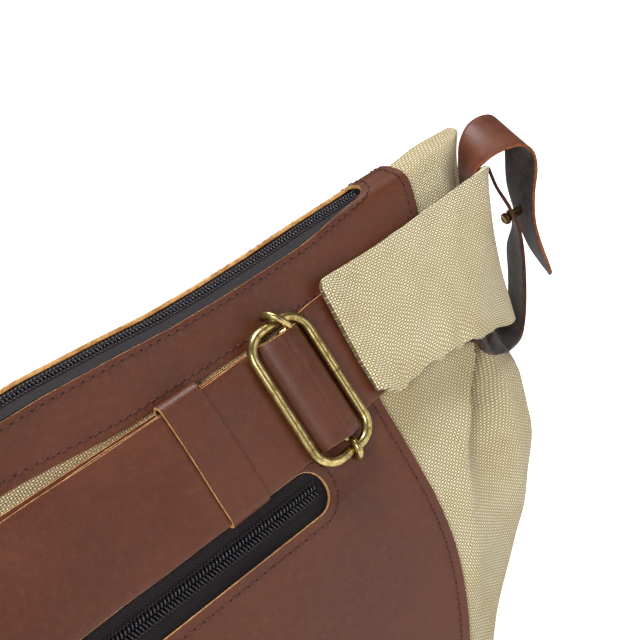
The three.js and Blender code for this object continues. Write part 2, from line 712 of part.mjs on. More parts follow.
// The left front end narrows to the strap and turns round the ring's left bar
const ringTurn = arc(RING_LEFT, RING_N, WIRE_R + 3 * GAP + BELT_CANVAS / 2, 100, -90, 8);
ringTurn.push({ s: RING_LEFT - 8, n: BELT_CANVAS / 2 + 2 * GAP });
const ringRows = ringTurn.map(({ s, n }) => {
  const ends = [1, -1].map((side) =>
    new THREE.Vector3(s, side * (STRAP_WIDTH / 2 - 1), n).applyMatrix4(rigMatrix),
  );
  return across(...ends, BELT_ACROSS);
});
const leftBelt = beltHalf()
  .slice(0, -1)
  .reverse()
  .filter((row) => row[0].x > BELT_NARROWS * HALF_LENGTH)
  .map((row) => row.map(flipX));
const beltRows = [...rightBelt, ...leftBelt, ...ringRows];
const clearBody = bodySkin(GAP);
const beltSolid = toSolid(sheet(beltRows, BELT_CANVAS)).subtract(clearBody);

// Side loops: one strap from above and one from below, joined by a stud outside the belt

// front = edge nearer the front, back = edge nearer the back, as shares like the belt's
const LOOP_UPPER = [
  { front: [0.9298, 0.4474, 0.8877], back: [0.9613, 0.8579, 0.8433] },
  { front: [0.9524, 0.4, 0.9173], back: [0.994, 0.8421, 0.8682] },
  { front: [0.9661, 0.3816, 0.9388], back: [1.0089, 0.8421, 0.8958] },
  { front: [0.9994, 0.3816, 0.9455], back: [1.0238, 0.8421, 0.9361] },
  { front: [1.0262, 0.3763, 0.9482], back: [1.0417, 0.8421, 0.9751] },
  { front: [1.072, 0.3553, 0.9442], back: [1.0815, 0.8421, 1.004] },
  { front: [1.1048, 0.3289, 0.9334], back: [1.1429, 0.8158, 0.996] },
  { front: [1.1226, 0.3026, 0.9052], back: [1.1667, 0.7895, 0.9415] },
  { front: [1.1173, 0.2895, 0.8675], back: [1.1518, 0.7895, 0.885] },
  { front: [1.0905, 0.2895, 0.8157], back: [1.1345, 0.7895, 0.8204] },
  { front: [1.0708, 0.2895, 0.7566], back: [1.131, 0.7763, 0.7545] },
  { front: [1.0744, 0.3158, 0.7095], back: [1.1262, 0.7368, 0.7001] },
  { front: [1.0863, 0.3553, 0.6604], back: [1.125, 0.6842, 0.6443] },
  { front: [1.106, 0.4211, 0.6113], back: [1.1304, 0.6184, 0.5958] },
  { front: [1.1232, 0.4868, 0.5703], back: [1.1321, 0.5395, 0.5582] },
];
const LOOP_LOWER = [
  { front: [0.7083, -0.0237, 0.649], back: [0.756, 0.1368, 0.7599] },
  { front: [0.7435, -0.0737, 0.6295], back: [0.8006, 0.1263, 0.7223] },
  { front: [0.7482, -0.0895, 0.6079], back: [0.8196, 0.2, 0.6886] },
  { front: [0.7958, -0.0132, 0.5595], back: [0.8673, 0.3947, 0.6046] },
  { front: [0.828, 0.0526, 0.5387], back: [0.8935, 0.4868, 0.5609] },
  { front: [0.8583, 0.1053, 0.5279], back: [0.9202, 0.5658, 0.5313] },
  { front: [0.9232, 0.2237, 0.5178], back: [0.9768, 0.6974, 0.5017] },
  { front: [0.9548, 0.2763, 0.538], back: [1.0113, 0.75, 0.5178] },
  { front: [0.9804, 0.3158, 0.5689], back: [1.0446, 0.7895, 0.5508] },
  { front: [1.0006, 0.3158, 0.6274], back: [1.0637, 0.7895, 0.6046] },
  { front: [1.019, 0.3158, 0.6994], back: [1.0827, 0.7895, 0.6691] },
  { front: [1.031, 0.3421, 0.7566], back: [1.0905, 0.7632, 0.7371] },
  { front: [1.0369, 0.4105, 0.7976], back: [1.0869, 0.7368, 0.7774] },
  { front: [1.0369, 0.5132, 0.8608], back: [1.0583, 0.6368, 0.85] },
  { front: [1.0327, 0.5263, 0.9132], back: [1.0399, 0.5737, 0.9092] },
];
function loopRows(table, steps) {
  const front = curveThrough(table.map((row) => atShares(...row.front)));
  const back = curveThrough(table.map((row) => atShares(...row.back)));
  return Array.from({ length: steps + 1 }, (_, k) =>
    across(front.getPoint(k / steps), back.getPoint(k / steps), 2),
  );
}

const upperLoop = toSolid(sheet(loopRows(LOOP_UPPER, 30), LOOP_LEATHER)).subtract(clearBody);
const lowerLoop = toSolid(sheet(loopRows(LOOP_LOWER, 28), LOOP_LEATHER)).subtract(clearBody);

// Stud: a post through both loop straps with a head and a foot; the straps have holes for it
const STUD_AT = atShares(1.0643, 0.5895, 0.7613);
const STUD_END = atShares(1.1048, 0.5579, 0.7653);
const STUD_R = 1.7;
const HEAD_R = 3.2;
const studLength = STUD_AT.distanceTo(STUD_END);
function alongStud(geometry) {
  const axis = STUD_END.clone().sub(STUD_AT).normalize();
  const turn = new THREE.Quaternion().setFromUnitVectors(new THREE.Vector3(0, 1, 0), axis);
  return geometry.applyQuaternion(turn).translate(STUD_AT.x, STUD_AT.y, STUD_AT.z);
}
const footAt = -LOOP_LEATHER / 2 - 5 * GAP;
const headAt = studLength + LOOP_LEATHER / 2 + 5 * GAP;
const STUD_PROFILE = [
  [0, footAt - 1.6],
  [HEAD_R * 0.8, footAt - 1.6],
  [HEAD_R, footAt - 1.0],
  [HEAD_R, footAt],
  [STUD_R, footAt],
  [STUD_R, headAt],
  [HEAD_R * 0.9, headAt],
  [HEAD_R * 0.9, headAt + 1.2],
  [HEAD_R * 0.55, headAt + 2.4],
  [0, headAt + 2.7],
].map(([r, y]) => new THREE.Vector2(r, y));
const studSolid = toSolid(outward(alongStud(new THREE.LatheGeometry(STUD_PROFILE, 14))));
const studHole = toSolid(
  alongStud(new THREE.CylinderGeometry(STUD_R + GAP, STUD_R + GAP, studLength + 12, 14).translate(0, studLength / 2, 0)),
);

function mirrored(solid) {
  const geometry = toGeometry(solid);
  geometry.scale(-1, 1, 1);
  const index = geometry.index.array;
  for (let i = 0; i < index.length; i += 3) {
    [index[i + 1], index[i + 2]] = [index[i + 2], index[i + 1]];
  }
  return geometry;
}

const largest = (solid) =>
  solid.decompose().reduce((best, body) => (body.volume() > best.volume() ? body : best));
const loopUpperSolid = largest(upperLoop.subtract(studHole));
const loopLowerSolid = largest(lowerLoop.subtract(studHole));

// Assembly
const bag = new THREE.Group();
bag.name = "hip_bag";
bag.add(mesh("canvas_body", toGeometry(canvasBody), "canvas"));
bag.add(mesh("top_band", toGeometry(topBand), "leather"));
bag.add(topZip);
bag.add(mesh("front_panel", frontPanel, "leather"));
bag.add(frontZip);
bag.add(strapRig);
bag.add(mesh("canvas_belt", toGeometry(beltSolid), "canvas"));
bag.add(mesh("loop_upper_right", toGeometry(loopUpperSolid), "leather"));
bag.add(mesh("loop_upper_left", mirrored(loopUpperSolid), "leather"));
bag.add(mesh("loop_lower_right", toGeometry(loopLowerSolid), "leather"));
bag.add(mesh("loop_lower_left", mirrored(loopLowerSolid), "leather"));
bag.add(mesh("loop_stud_right", toGeometry(studSolid), "brass"));
bag.add(mesh("loop_stud_left", mirrored(studSolid), "brass"));
bag.updateMatrixWorld(true);

export default bag;
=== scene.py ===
"""Looks of the hip bag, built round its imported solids.

The row frame has X along the bag, the front facing -Y and +Z up, with its origin at the middle of the
flat base. Sizes are millimetres until a mesh is made, and metres after that.
"""

import logging
import math
from collections.abc import Callable, Sequence
from dataclasses import dataclass, field
from enum import Enum

import bpy
import numpy as np
from mathutils import Matrix, Vector


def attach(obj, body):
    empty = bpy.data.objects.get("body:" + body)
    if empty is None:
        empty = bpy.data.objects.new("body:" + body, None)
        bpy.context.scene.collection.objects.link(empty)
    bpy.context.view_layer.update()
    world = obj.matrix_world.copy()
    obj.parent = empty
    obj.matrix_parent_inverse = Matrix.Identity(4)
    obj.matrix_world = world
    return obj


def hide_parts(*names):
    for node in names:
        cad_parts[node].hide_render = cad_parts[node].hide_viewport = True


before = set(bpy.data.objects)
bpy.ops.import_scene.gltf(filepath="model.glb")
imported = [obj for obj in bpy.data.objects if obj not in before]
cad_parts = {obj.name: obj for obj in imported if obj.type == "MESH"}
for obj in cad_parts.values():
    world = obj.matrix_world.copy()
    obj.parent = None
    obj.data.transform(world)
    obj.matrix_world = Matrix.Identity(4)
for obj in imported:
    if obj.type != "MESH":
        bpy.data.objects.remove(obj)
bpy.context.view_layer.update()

LOG = logging.getLogger("hip_bag")
MM = 0.001
BODY = "root"
UV_NAME = "ClothMillimetres"

# Sizes shared by the pieces, in millimetres
HALF_LENGTH = 168.0
HEIGHT = 148.7
END_RISE = 3.8
BACK_Y = 38.0
FRONT_TOP_Y = 22.0
FRONT_TOP_Z = 150.0
FRONT_LEAN = 0.404
SLOPE = math.hypot(1.0, FRONT_LEAN)
LEATHER = 1.4
GAP = 0.3
CANVAS_WALL = 2.0
PANEL_OUT = GAP + LEATHER
ZIP_Y = 28.5
ZIP_HALF = 122.0
ZIP_NEAR = 9.2
ZIP_FAR = 4.6
FRONT_ZIP_Z = 87.0
FRONT_ZIP_HALF = 50.0
FRONT_ZIP_WIDTH = 11.0


class Slot(Enum):
    """The record's material slots."""

    CANVAS = "canvas"
    LEATHER = "leather"
    LOOP = "loop_leather"
    BRASS = "brass"
    ZIP_METAL = "zip_metal"
    TAPE = "zip_tape"
    COIL = "zip_coil"


class Side(Enum):
    """The two ends of the bag; the value is the sign of X."""

    RIGHT = 1
    LEFT = -1


# Curves and places


def spline(points: Sequence[Sequence[float]], shares: np.ndarray) -> np.ndarray:
    """Centripetal curve through points.

    Args:
        points: the points the curve passes through.
        shares: places along it, from 0 at the first point to 1 at the last.

    Returns:
        One point for each share.
    """
    p = np.asarray(points, float)
    p = np.vstack([2 * p[0] - p[1], p, 2 * p[-1] - p[-2]])
    spans = len(p) - 3
    at = np.clip(np.asarray(shares, float) * spans, 0, spans - 1e-9)
    k = at.astype(int)
    t = (at - k)[:, None]
    a, b, c, d = p[k], p[k + 1], p[k + 2], p[k + 3]
    gap = [np.maximum(np.linalg.norm(q - r, axis=1, keepdims=True), 1e-6) ** 0.5
           for q, r in ((b, a), (c, b), (d, c))]
    m1 = ((b - a) / gap[0] - (c - a) / (gap[0] + gap[1]) + (c - b) / gap[1]) * gap[1]
    m2 = ((c - b) / gap[1] - (d - b) / (gap[1] + gap[2]) + (d - c) / gap[2]) * gap[1]
    return b + m1 * t + (-3 * b + 3 * c - 2 * m1 - m2) * t**2 + (2 * b - 2 * c + m1 + m2) * t**3


def lengths(line: np.ndarray) -> np.ndarray:
    """Distance from the start of a line to each of its points."""
    steps = np.linalg.norm(np.diff(line, axis=0), axis=1)
    return np.concatenate([[0.0], np.cumsum(steps)])


def resample(line: np.ndarray, count: int) -> np.ndarray:
    """The same line with count points at even distances."""
    along = lengths(line)
    even = np.linspace(0, along[-1], count)
    return np.stack([np.interp(even, along, line[:, i]) for i in range(line.shape[1])], 1)


def smoothstep(x: np.ndarray | float, low: float, high: float) -> np.ndarray:
    """0 below low, 1 above high and a soft ramp between them."""
    t = np.clip((np.asarray(x, float) - low) / (high - low), 0, 1)
    return t * t * (3 - 2 * t)


def front_y(z: np.ndarray | float) -> np.ndarray | float:
    """Y of the leaning front plane at a height."""
    return FRONT_TOP_Y - (FRONT_TOP_Z - z) * FRONT_LEAN


def slope_of(z: float) -> float:
    """Distance along the front plane below its top line, as a negative number."""
    return (z - FRONT_TOP_Z) * SLOPE


def on_front(x: np.ndarray, slope: np.ndarray, out: np.ndarray | float) -> np.ndarray:
    """Places on the front plane.

    Args:
        x: along the bag.
        slope: distance along the plane from its top line.
        out: height above the plane.

    Returns:
        Points in the row frame.
    """
    x, slope, out = np.broadcast_arrays(np.asarray(x, float), np.asarray(slope, float),
                                        np.asarray(out, float))
    y = FRONT_TOP_Y + (slope * FRONT_LEAN - out) / SLOPE
    z = FRONT_TOP_Z + (slope + out * FRONT_LEAN) / SLOPE
    return np.stack([x, y, z], -1)


def rounded(left: float, low: float, right: float, high: float, radius: float, corner: int,
            sides: tuple[int, int]) -> np.ndarray:
    """A closed rounded outline with even points on its sides.

    Args:
        left: least value along the level sides.
        low: least value along the upright sides.
        right: greatest value along the level sides.
        high: greatest value along the upright sides.
        radius: of all four corners.
        corner: steps in a corner.
        sides: steps on a level side and on an upright one.

    Returns:
        Points counter-clockwise, the first one repeated at the end.
    """
    centres = [(left + radius, low + radius), (right - radius, low + radius),
               (right - radius, high - radius), (left + radius, high - radius)]
    points = []
    for i, (x, y) in enumerate(centres):
        start = math.pi + i * math.pi / 2
        for k in range(corner + 1):
            a = start + k / corner * math.pi / 2
            points.append((x + radius * math.cos(a), y + radius * math.sin(a)))
        nx, ny = centres[(i + 1) % 4]
        a = start + math.pi / 2
        first = np.array([x + radius * math.cos(a), y + radius * math.sin(a)])
        last = np.array([nx + radius * math.cos(a), ny + radius * math.sin(a)])
        steps = sides[i % 2]
        points.extend(first + (last - first) * k / steps for k in range(1, steps))
    points.append(points[0])
    return np.array([tuple(p) for p in points])


def outline_offset(line: np.ndarray, by: float) -> np.ndarray:
    """A closed counter-clockwise outline moved outward by a distance."""
    body = line[:-1]
    along = np.roll(body, -1, 0) - np.roll(body, 1, 0)
    along /= np.maximum(np.linalg.norm(along, axis=1, keepdims=True), 1e-9)
    moved = body + np.stack([along[:, 1], -along[:, 0]], 1) * by
    return np.vstack([moved, moved[:1]])


# Making meshes


def deselect() -> None:
    """Leaves nothing selected, as the frame's nodes are after loading."""
    if bpy.context.object and bpy.context.object.mode != "OBJECT":
        bpy.ops.object.mode_set(mode="OBJECT")
    bpy.ops.object.select_all(action="DESELECT")


def activate(obj: bpy.types.Object) -> None:
    """Selects one object alone and makes it the active one."""
    deselect()
    obj.select_set(True)
    bpy.context.view_layer.objects.active = obj


def modify(obj: bpy.types.Object, kind: str, **settings: object) -> None:
    """Adds a modifier with its settings and applies it."""
    activate(obj)
    bpy.ops.object.modifier_add(type=kind)
    modifier = obj.modifiers[-1]
    for key, value in settings.items():
        setattr(modifier, key, value)
    bpy.ops.object.modifier_apply(modifier=modifier.name)


def edit(obj: bpy.types.Object, work: Callable[[], None]) -> None:
    """Runs edit-mode operators on the whole of one mesh."""
    activate(obj)
    bpy.ops.object.mode_set(mode="EDIT")
    bpy.ops.mesh.select_all(action="SELECT")
    work()
    bpy.ops.object.mode_set(mode="OBJECT")


def weld(obj: bpy.types.Object, recalculate: bool = False) -> None:
    """Merges doubled vertices, and turns all faces outward if asked."""

    def work() -> None:
        bpy.ops.mesh.remove_doubles(threshold=1e-6)
        if recalculate:
            bpy.ops.mesh.normals_make_consistent(inside=False)

    edit(obj, work)


def smooth(obj: bpy.types.Object, degrees: float = 40) -> None:
    """Shades a piece smooth, except over sharp edges."""
    activate(obj)
    bpy.ops.object.shade_smooth_by_angle(angle=math.radians(degrees))


def lay_uv(rows: np.ndarray) -> np.ndarray:
    """Cloth coordinates of a grid, in millimetres along and across it."""
    along = np.stack([lengths(rows[:, c]) for c in range(rows.shape[1])], 1)
    across = np.stack([lengths(rows[r]) for r in range(rows.shape[0])], 0)
    across -= across[:, -1:] / 2
    return np.stack([along, across], -1)


def grid_piece(name: str, rows: np.ndarray, uv: np.ndarray | None = None,
               weld_seam: bool = False) -> bpy.types.Object:
    """A grid primitive laid through rows of points.

    Args:
        name: of the piece.
        rows: rows by columns by XYZ, in millimetres.
        uv: rows by columns by UV; measured on the grid when left out.
        weld_seam: joins edges that meet.

    Returns:
        The piece, with its cloth coordinates.
    """
    count_r, count_c = rows.shape[:2]
    deselect()
    bpy.ops.mesh.primitive_grid_add(x_subdivisions=count_c - 1, y_subdivisions=count_r - 1, size=2)
    obj = bpy.context.object
    obj.name = name
    mesh = obj.data
    mesh.name = name
    flat = np.zeros(len(mesh.vertices) * 3)
    mesh.vertices.foreach_get("co", flat)
    flat = flat.reshape(-1, 3)
    c = np.rint((flat[:, 0] + 1) / 2 * (count_c - 1)).astype(int)
    r = np.rint((flat[:, 1] + 1) / 2 * (count_r - 1)).astype(int)
    mesh.vertices.foreach_set("co", (rows[r, c] * MM).ravel())
    uv = lay_uv(rows) if uv is None else uv
    layer = mesh.uv_layers[0] if mesh.uv_layers else mesh.uv_layers.new()
    layer.name = UV_NAME
    corners = np.zeros(len(mesh.loops), int)
    mesh.loops.foreach_get("vertex_index", corners)
    layer.data.foreach_set("uv", uv[r[corners], c[corners]].ravel())
    mesh.update()
    if weld_seam:
        weld(obj)
    return obj


def raw_piece(name: str, points: np.ndarray, faces: Sequence[Sequence[int]]) -> bpy.types.Object:
    """A piece straight from points in millimetres and faces."""
    mesh = bpy.data.meshes.new(name)
    mesh.from_pydata((np.asarray(points) * MM).tolist(), [], [list(f) for f in faces])
    mesh.update()
    obj = bpy.data.objects.new(name, mesh)
    bpy.context.scene.collection.objects.link(obj)
    return obj


def thicken(obj: bpy.types.Object, thickness: float, rim: float, inner: int = 0, edge: int = 1,
            segments: int = 2, offset: float = 0.0) -> None:
    """Gives a surface its wall and rounds its rim.

    Args:
        obj: the surface.
        thickness: of the wall.
        rim: radius of the rounded rim.
        inner: material index of the inner face.
        edge: material index of the rim.
        segments: steps of the rounding.
        offset: -1 grows inward, 0 both ways, 1 outward.
    """
    modify(obj, "SOLIDIFY", thickness=thickness * MM, offset=offset, use_even_offset=True,
           material_offset=inner, material_offset_rim=edge)
    if rim > 0:
        modify(obj, "BEVEL", width=rim * MM, segments=segments, limit_method="ANGLE",
               angle_limit=math.radians(50))


def wire_piece(name: str, path: np.ndarray, radius: float, closed: bool, sides: int = 4) -> bpy.types.Object:
    """A round wire along a path, made a mesh.

    Args:
        name: of the piece.
        path: points in millimetres.
        radius: of the wire.
        closed: joins the last point to the first.
        sides: steps in a quarter of the section.

    Returns:
        The piece.
    """
    curve = bpy.data.curves.new(name, "CURVE")
    curve.dimensions = "3D"
    curve.bevel_depth = radius * MM
    curve.bevel_resolution = sides
    curve.use_fill_caps = True
    line = curve.splines.new("POLY")
    line.points.add(len(path) - 1)
    line.points.foreach_set("co", np.hstack([path * MM, np.ones((len(path), 1))]).ravel())
    line.use_cyclic_u = closed
    obj = bpy.data.objects.new(name, curve)
    bpy.context.scene.collection.objects.link(obj)
    activate(obj)
    bpy.ops.object.convert(target="MESH")
    obj = bpy.context.object
    weld(obj, True)
    smooth(obj)
    return obj


def repeat_shape(name: str, shape: tuple[np.ndarray, list], frames: np.ndarray) -> bpy.types.Object:
    """One small shape copied into many places as a single mesh.

    Args:
        name: of the piece.
        shape: its points and faces.
        frames: one 4 by 4 placing for each copy.

    Returns:
        The joined piece.
    """
    points, faces = shape
    count = len(points)
    spread = np.hstack([points, np.ones((count, 1))])
    placed = np.einsum("nij,kj->nki", frames, spread)[:, :, :3].reshape(-1, 3)
    copies = [[i + n * count for i in face] for n in range(len(frames)) for face in faces]
    return raw_piece(name, placed, copies)


def lozenge(long: float, wide: float, high: float, rings: int = 5, sides: int = 6,
            dip: float = 0.0) -> tuple[np.ndarray, list]:
    """A small rounded bar along X whose ends may dip.

    Args:
        long: its length.
        wide: its width in the middle.
        high: its height in the middle.
        rings: sections along it.
        sides: points in a section.
        dip: how far its ends go down.

    Returns:
        Points and faces.
    """
    points, faces = [], []
    for r in range(rings):
        share = r / (rings - 1) * 2 - 1
        fat = math.sqrt(max(1 - share**2 * 0.86, 0.02))
        for k in range(sides):
            a = 2 * math.pi * k / sides
            points.append((share * long / 2, math.cos(a) * wide / 2 * fat,
                           math.sin(a) * high / 2 * fat + high / 2 - dip * share**2))
    for r in range(rings - 1):
        for k in range(sides):
            j = (k + 1) % sides
            a, b = r * sides + k, r * sides + j
            faces.append([a, b, b + sides, a + sides][::-1])
    faces.append(list(range(sides)))
    faces.append(list(range((rings - 1) * sides, rings * sides))[::-1])
    return np.array(points), [f[::-1] for f in faces]


# Finishes


class Wiring:
    """Adds and joins the nodes of one tree."""

    def __init__(self, tree: bpy.types.NodeTree) -> None:
        """Takes the tree to work in."""
        self.tree = tree

    def node(self, kind: str, **settings: object) -> bpy.types.Node:
        """A new node with its settings."""
        made = self.tree.nodes.new(kind)
        for key, value in settings.items():
            setattr(made, key, value)
        return made

    def feed(self, socket: bpy.types.NodeSocket, value: object) -> None:
        """Links a socket, or sets its number or colour."""
        if isinstance(value, bpy.types.NodeSocket):
            self.tree.links.new(value, socket)
        else:
            socket.default_value = value

    def math(self, operation: str, *values: object, clamp: bool = False) -> bpy.types.NodeSocket:
        """The result of a Math node."""
        made = self.node("ShaderNodeMath", operation=operation, use_clamp=clamp)
        for socket, value in zip(made.inputs, values):
            self.feed(socket, value)
        return made.outputs[0]

    def noise(self, vector: object, scale: float, detail: float = 2.0,
              rough: float = 0.5) -> bpy.types.NodeSocket:
        """A noise value over a vector."""
        made = self.node("ShaderNodeTexNoise")
        self.feed(made.inputs["Vector"], vector)
        self.feed(made.inputs["Scale"], scale)
        self.feed(made.inputs["Detail"], detail)
        self.feed(made.inputs["Roughness"], rough)
        return made.outputs["Fac"]

    def ramp(self, value: object, low: float, high: float, out_low: float = 0.0,
             out_high: float = 1.0) -> bpy.types.NodeSocket:
        """A value moved from one range to another, held at its ends."""
        made = self.node("ShaderNodeMapRange", interpolation_type="SMOOTHSTEP")
        for socket, number in zip(made.inputs, (value, low, high, out_low, out_high)):
            self.feed(socket, number)
        return made.outputs[0]

    def mix(self, share: object, first: object, second: object, blend: str = "MIX") -> bpy.types.NodeSocket:
        """Two colours mixed by a share."""
        made = self.node("ShaderNodeMix", data_type="RGBA", blend_type=blend)
        self.feed(made.inputs[0], share)
        self.feed(made.inputs[6], first)
        self.feed(made.inputs[7], second)
        return made.outputs[2]

    def bump(self, height: object, strength: float, distance: float,
             under: object = None) -> bpy.types.NodeSocket:
        """A normal raised by a height, in metres."""
        made = self.node("ShaderNodeBump")
        made.inputs["Strength"].default_value = strength
        made.inputs["Distance"].default_value = distance
        self.feed(made.inputs["Height"], height)
        if under is not None:
            self.feed(made.inputs["Normal"], under)
        return made.outputs[0]

    def stretched(self, vector: object, x: float, y: float, z: float) -> bpy.types.NodeSocket:
        """A vector scaled along its axes."""
        made = self.node("ShaderNodeMapping")
        self.feed(made.inputs["Vector"], vector)
        made.inputs["Scale"].default_value = (x, y, z)
        return made.outputs[0]


def colour(red: int, green: int, blue: int) -> tuple[float, float, float, float]:
    """A screen colour as the renderer's linear one."""
    return (*(((c / 255 + 0.055) / 1.055) ** 2.4 if c > 10 else c / 255 / 12.92 for c in (red, green, blue)),
            1.0)


def new_group(
    name: str, inputs: Sequence[tuple[str, str, object]], outputs: Sequence[tuple[str, str]],
) -> tuple[bpy.types.NodeTree, Wiring, bpy.types.Node, bpy.types.Node]:
    """An empty node group with its sockets.

    Args:
        name: of the group.
        inputs: name, socket kind and default of each input.
        outputs: name and socket kind of each output.

    Returns:
        The group, its wiring, and its input and output nodes.
    """
    tree = bpy.data.node_groups.new(name, "ShaderNodeTree")
    for label, kind, default in inputs:
        socket = tree.interface.new_socket(label, in_out="INPUT", socket_type=kind)
        if default is not None:
            socket.default_value = default
    for label, kind in outputs:
        tree.interface.new_socket(label, in_out="OUTPUT", socket_type=kind)
    wiring = Wiring(tree)
    return tree, wiring, wiring.node("NodeGroupInput"), wiring.node("NodeGroupOutput")


def weave_group() -> bpy.types.NodeTree:
    """Plain weave over millimetre coordinates: its height, a painted highlight on the crowns of the raised
    yarns, and painted shade in the gaps between yarns.
    """
    tree, w, given, result = new_group(
        "PlainWeave",
        [("Place", "NodeSocketVector", None), ("Pitch", "NodeSocketFloat", 1.05),
         ("Waver", "NodeSocketFloat", 0.18)],
        [("Height", "NodeSocketFloat"), ("Bead", "NodeSocketFloat"), ("Gap", "NodeSocketFloat")],
    )
    place, pitch, waver = given.outputs["Place"], given.outputs["Pitch"], given.outputs["Waver"]
    drift = w.node("ShaderNodeTexNoise")
    w.feed(drift.inputs["Vector"], place)
    w.feed(drift.inputs["Scale"], 0.32)
    w.feed(drift.inputs["Detail"], 2.0)
    split = w.node("ShaderNodeSeparateXYZ")
    w.feed(split.inputs[0], place)
    sway = w.node("ShaderNodeSeparateColor")
    w.feed(sway.inputs[0], drift.outputs["Color"])
    cells, profiles = [], []
    for axis in range(2):
        at = w.math("DIVIDE", split.outputs[axis], pitch)
        offset = w.math("MULTIPLY", w.math("SUBTRACT", sway.outputs[axis], 0.5),
                        w.math("MULTIPLY", waver, 6.0))
        at = w.math("ADD", at, offset)
        cells.append(w.math("FLOOR", at))
        centred = w.math("SUBTRACT", w.math("FRACT", at), 0.5)
        profiles.append(w.math("COSINE", w.math("MULTIPLY", centred, math.pi * 0.96)))
    odd = w.math("FLOORED_MODULO", w.math("ADD", cells[0], cells[1]), 2.0)
    warp = w.math("MULTIPLY", w.math("POWER", profiles[0], 0.75), w.math("POWER", profiles[1], 0.42))
    weft = w.math("MULTIPLY", w.math("POWER", profiles[0], 0.42), w.math("POWER", profiles[1], 0.8))
    slub = w.noise(w.stretched(place, 0.9, 0.9, 1.0), 1.0, 1.0)
    high = w.math("MULTIPLY", warp, w.ramp(slub, 0.3, 0.7, 0.86, 1.0))
    low = w.math("MULTIPLY", weft, 0.72)
    height = w.math("ADD", w.math("MULTIPLY", high, w.math("SUBTRACT", 1.0, odd)),
                    w.math("MULTIPLY", low, odd))
    w.feed(result.inputs["Height"], height)
    # Painted highlight: the crown of each raised warp yarn is lightened.
    bead = w.math("MULTIPLY", w.ramp(warp, 0.45, 0.92), w.math("SUBTRACT", 1.0, odd))
    w.feed(result.inputs["Bead"], bead)
    # Painted shade: the low places between the yarns are darkened by their depth.
    w.feed(result.inputs["Gap"], w.ramp(height, 0.16, 0.66, 1.0, 0.0))
    return tree


def grain_group() -> bpy.types.NodeTree:
    """Fine leather grain over metres: its height, and the cloudy mottle of its dye."""
    tree, w, given, result = new_group(
        "LeatherGrain",
        [("Place", "NodeSocketVector", None), ("Scale", "NodeSocketFloat", 1.0)],
        [("Height", "NodeSocketFloat"), ("Mottle", "NodeSocketFloat"), ("Pores", "NodeSocketFloat")],
    )
    place = given.outputs["Place"]
    cells = w.node("ShaderNodeTexVoronoi", feature="DISTANCE_TO_EDGE")
    w.feed(cells.inputs["Vector"], place)
    w.feed(cells.inputs["Scale"], w.math("MULTIPLY", given.outputs["Scale"], 1500.0))
    creases = w.ramp(cells.outputs["Distance"], 0.0, 0.28)
    fine = w.noise(place, 2600.0, 3.0, 0.6)
    w.feed(result.inputs["Height"], w.math("ADD", w.math("MULTIPLY", creases, 0.55),
                                           w.math("MULTIPLY", fine, 0.45)))
    cloud = w.noise(place, 26.0, 4.0, 0.55)
    streak = w.noise(w.stretched(place, 60.0, 160.0, 160.0), 1.0, 3.0, 0.5)
    w.feed(result.inputs["Mottle"], w.math("ADD", w.math("MULTIPLY", cloud, 0.7),
                                           w.math("MULTIPLY", streak, 0.3)))
    w.feed(result.inputs["Pores"], w.ramp(w.noise(place, 900.0, 2.0), 0.62, 0.78))
    return tree


def wear_group() -> bpy.types.NodeTree:
    """Patches of age over metres: a slow stain and a fine fleck."""
    tree, w, given, result = new_group(
        "Age",
        [("Place", "NodeSocketVector", None), ("Scale", "NodeSocketFloat", 1.0)],
        [("Stain", "NodeSocketFloat"), ("Fleck", "NodeSocketFloat")],
    )
    place = given.outputs["Place"]
    w.feed(result.inputs["Stain"], w.ramp(w.noise(place, w.math("MULTIPLY", given.outputs["Scale"], 30.0),
                                                  4.0, 0.6), 0.38, 0.68))
    w.feed(result.inputs["Fleck"], w.ramp(w.noise(place, w.math("MULTIPLY", given.outputs["Scale"], 700.0),
                                                  3.0, 0.6), 0.45, 0.7))
    return tree


class Effects:
    """The node groups that several finishes share, each built once."""

    def __init__(self) -> None:
        """Builds the groups."""
        self.weave = weave_group()
        self.grain = grain_group()
        self.age = wear_group()


class Dye:
    """Starts one material: its nodes, its shader and its coordinates."""

    def __init__(self, name: str, effects: Effects) -> None:
        """Makes an empty material with a Principled shader."""
        self.material = bpy.data.materials.new(name)
        self.material.use_nodes = True
        tree = self.material.node_tree
        tree.nodes.clear()
        self.w = Wiring(tree)
        self.effects = effects
        self.shader = self.w.node("ShaderNodeBsdfPrincipled")
        out = self.w.node("ShaderNodeOutputMaterial")
        self.w.feed(out.inputs["Surface"], self.shader.outputs[0])
        self.place = self.w.node("ShaderNodeTexCoord").outputs["Object"]

    def cloth_place(self) -> bpy.types.NodeSocket:
        """The piece's own cloth coordinates, in millimetres."""
        return self.w.node("ShaderNodeUVMap", uv_map=UV_NAME).outputs[0]

    def group(self, tree: bpy.types.NodeTree, **values: object) -> bpy.types.Node:
        """Places a shared group with its values."""
        made = self.w.node("ShaderNodeGroup", node_tree=tree)
        for label, value in values.items():
            self.w.feed(made.inputs[label], value)
        return made

    def set(self, **values: object) -> None:
        """Feeds the shader's sockets; underscores stand for spaces."""
        for label, value in values.items():
            self.w.feed(self.shader.inputs[label.replace("_", " ")], value)


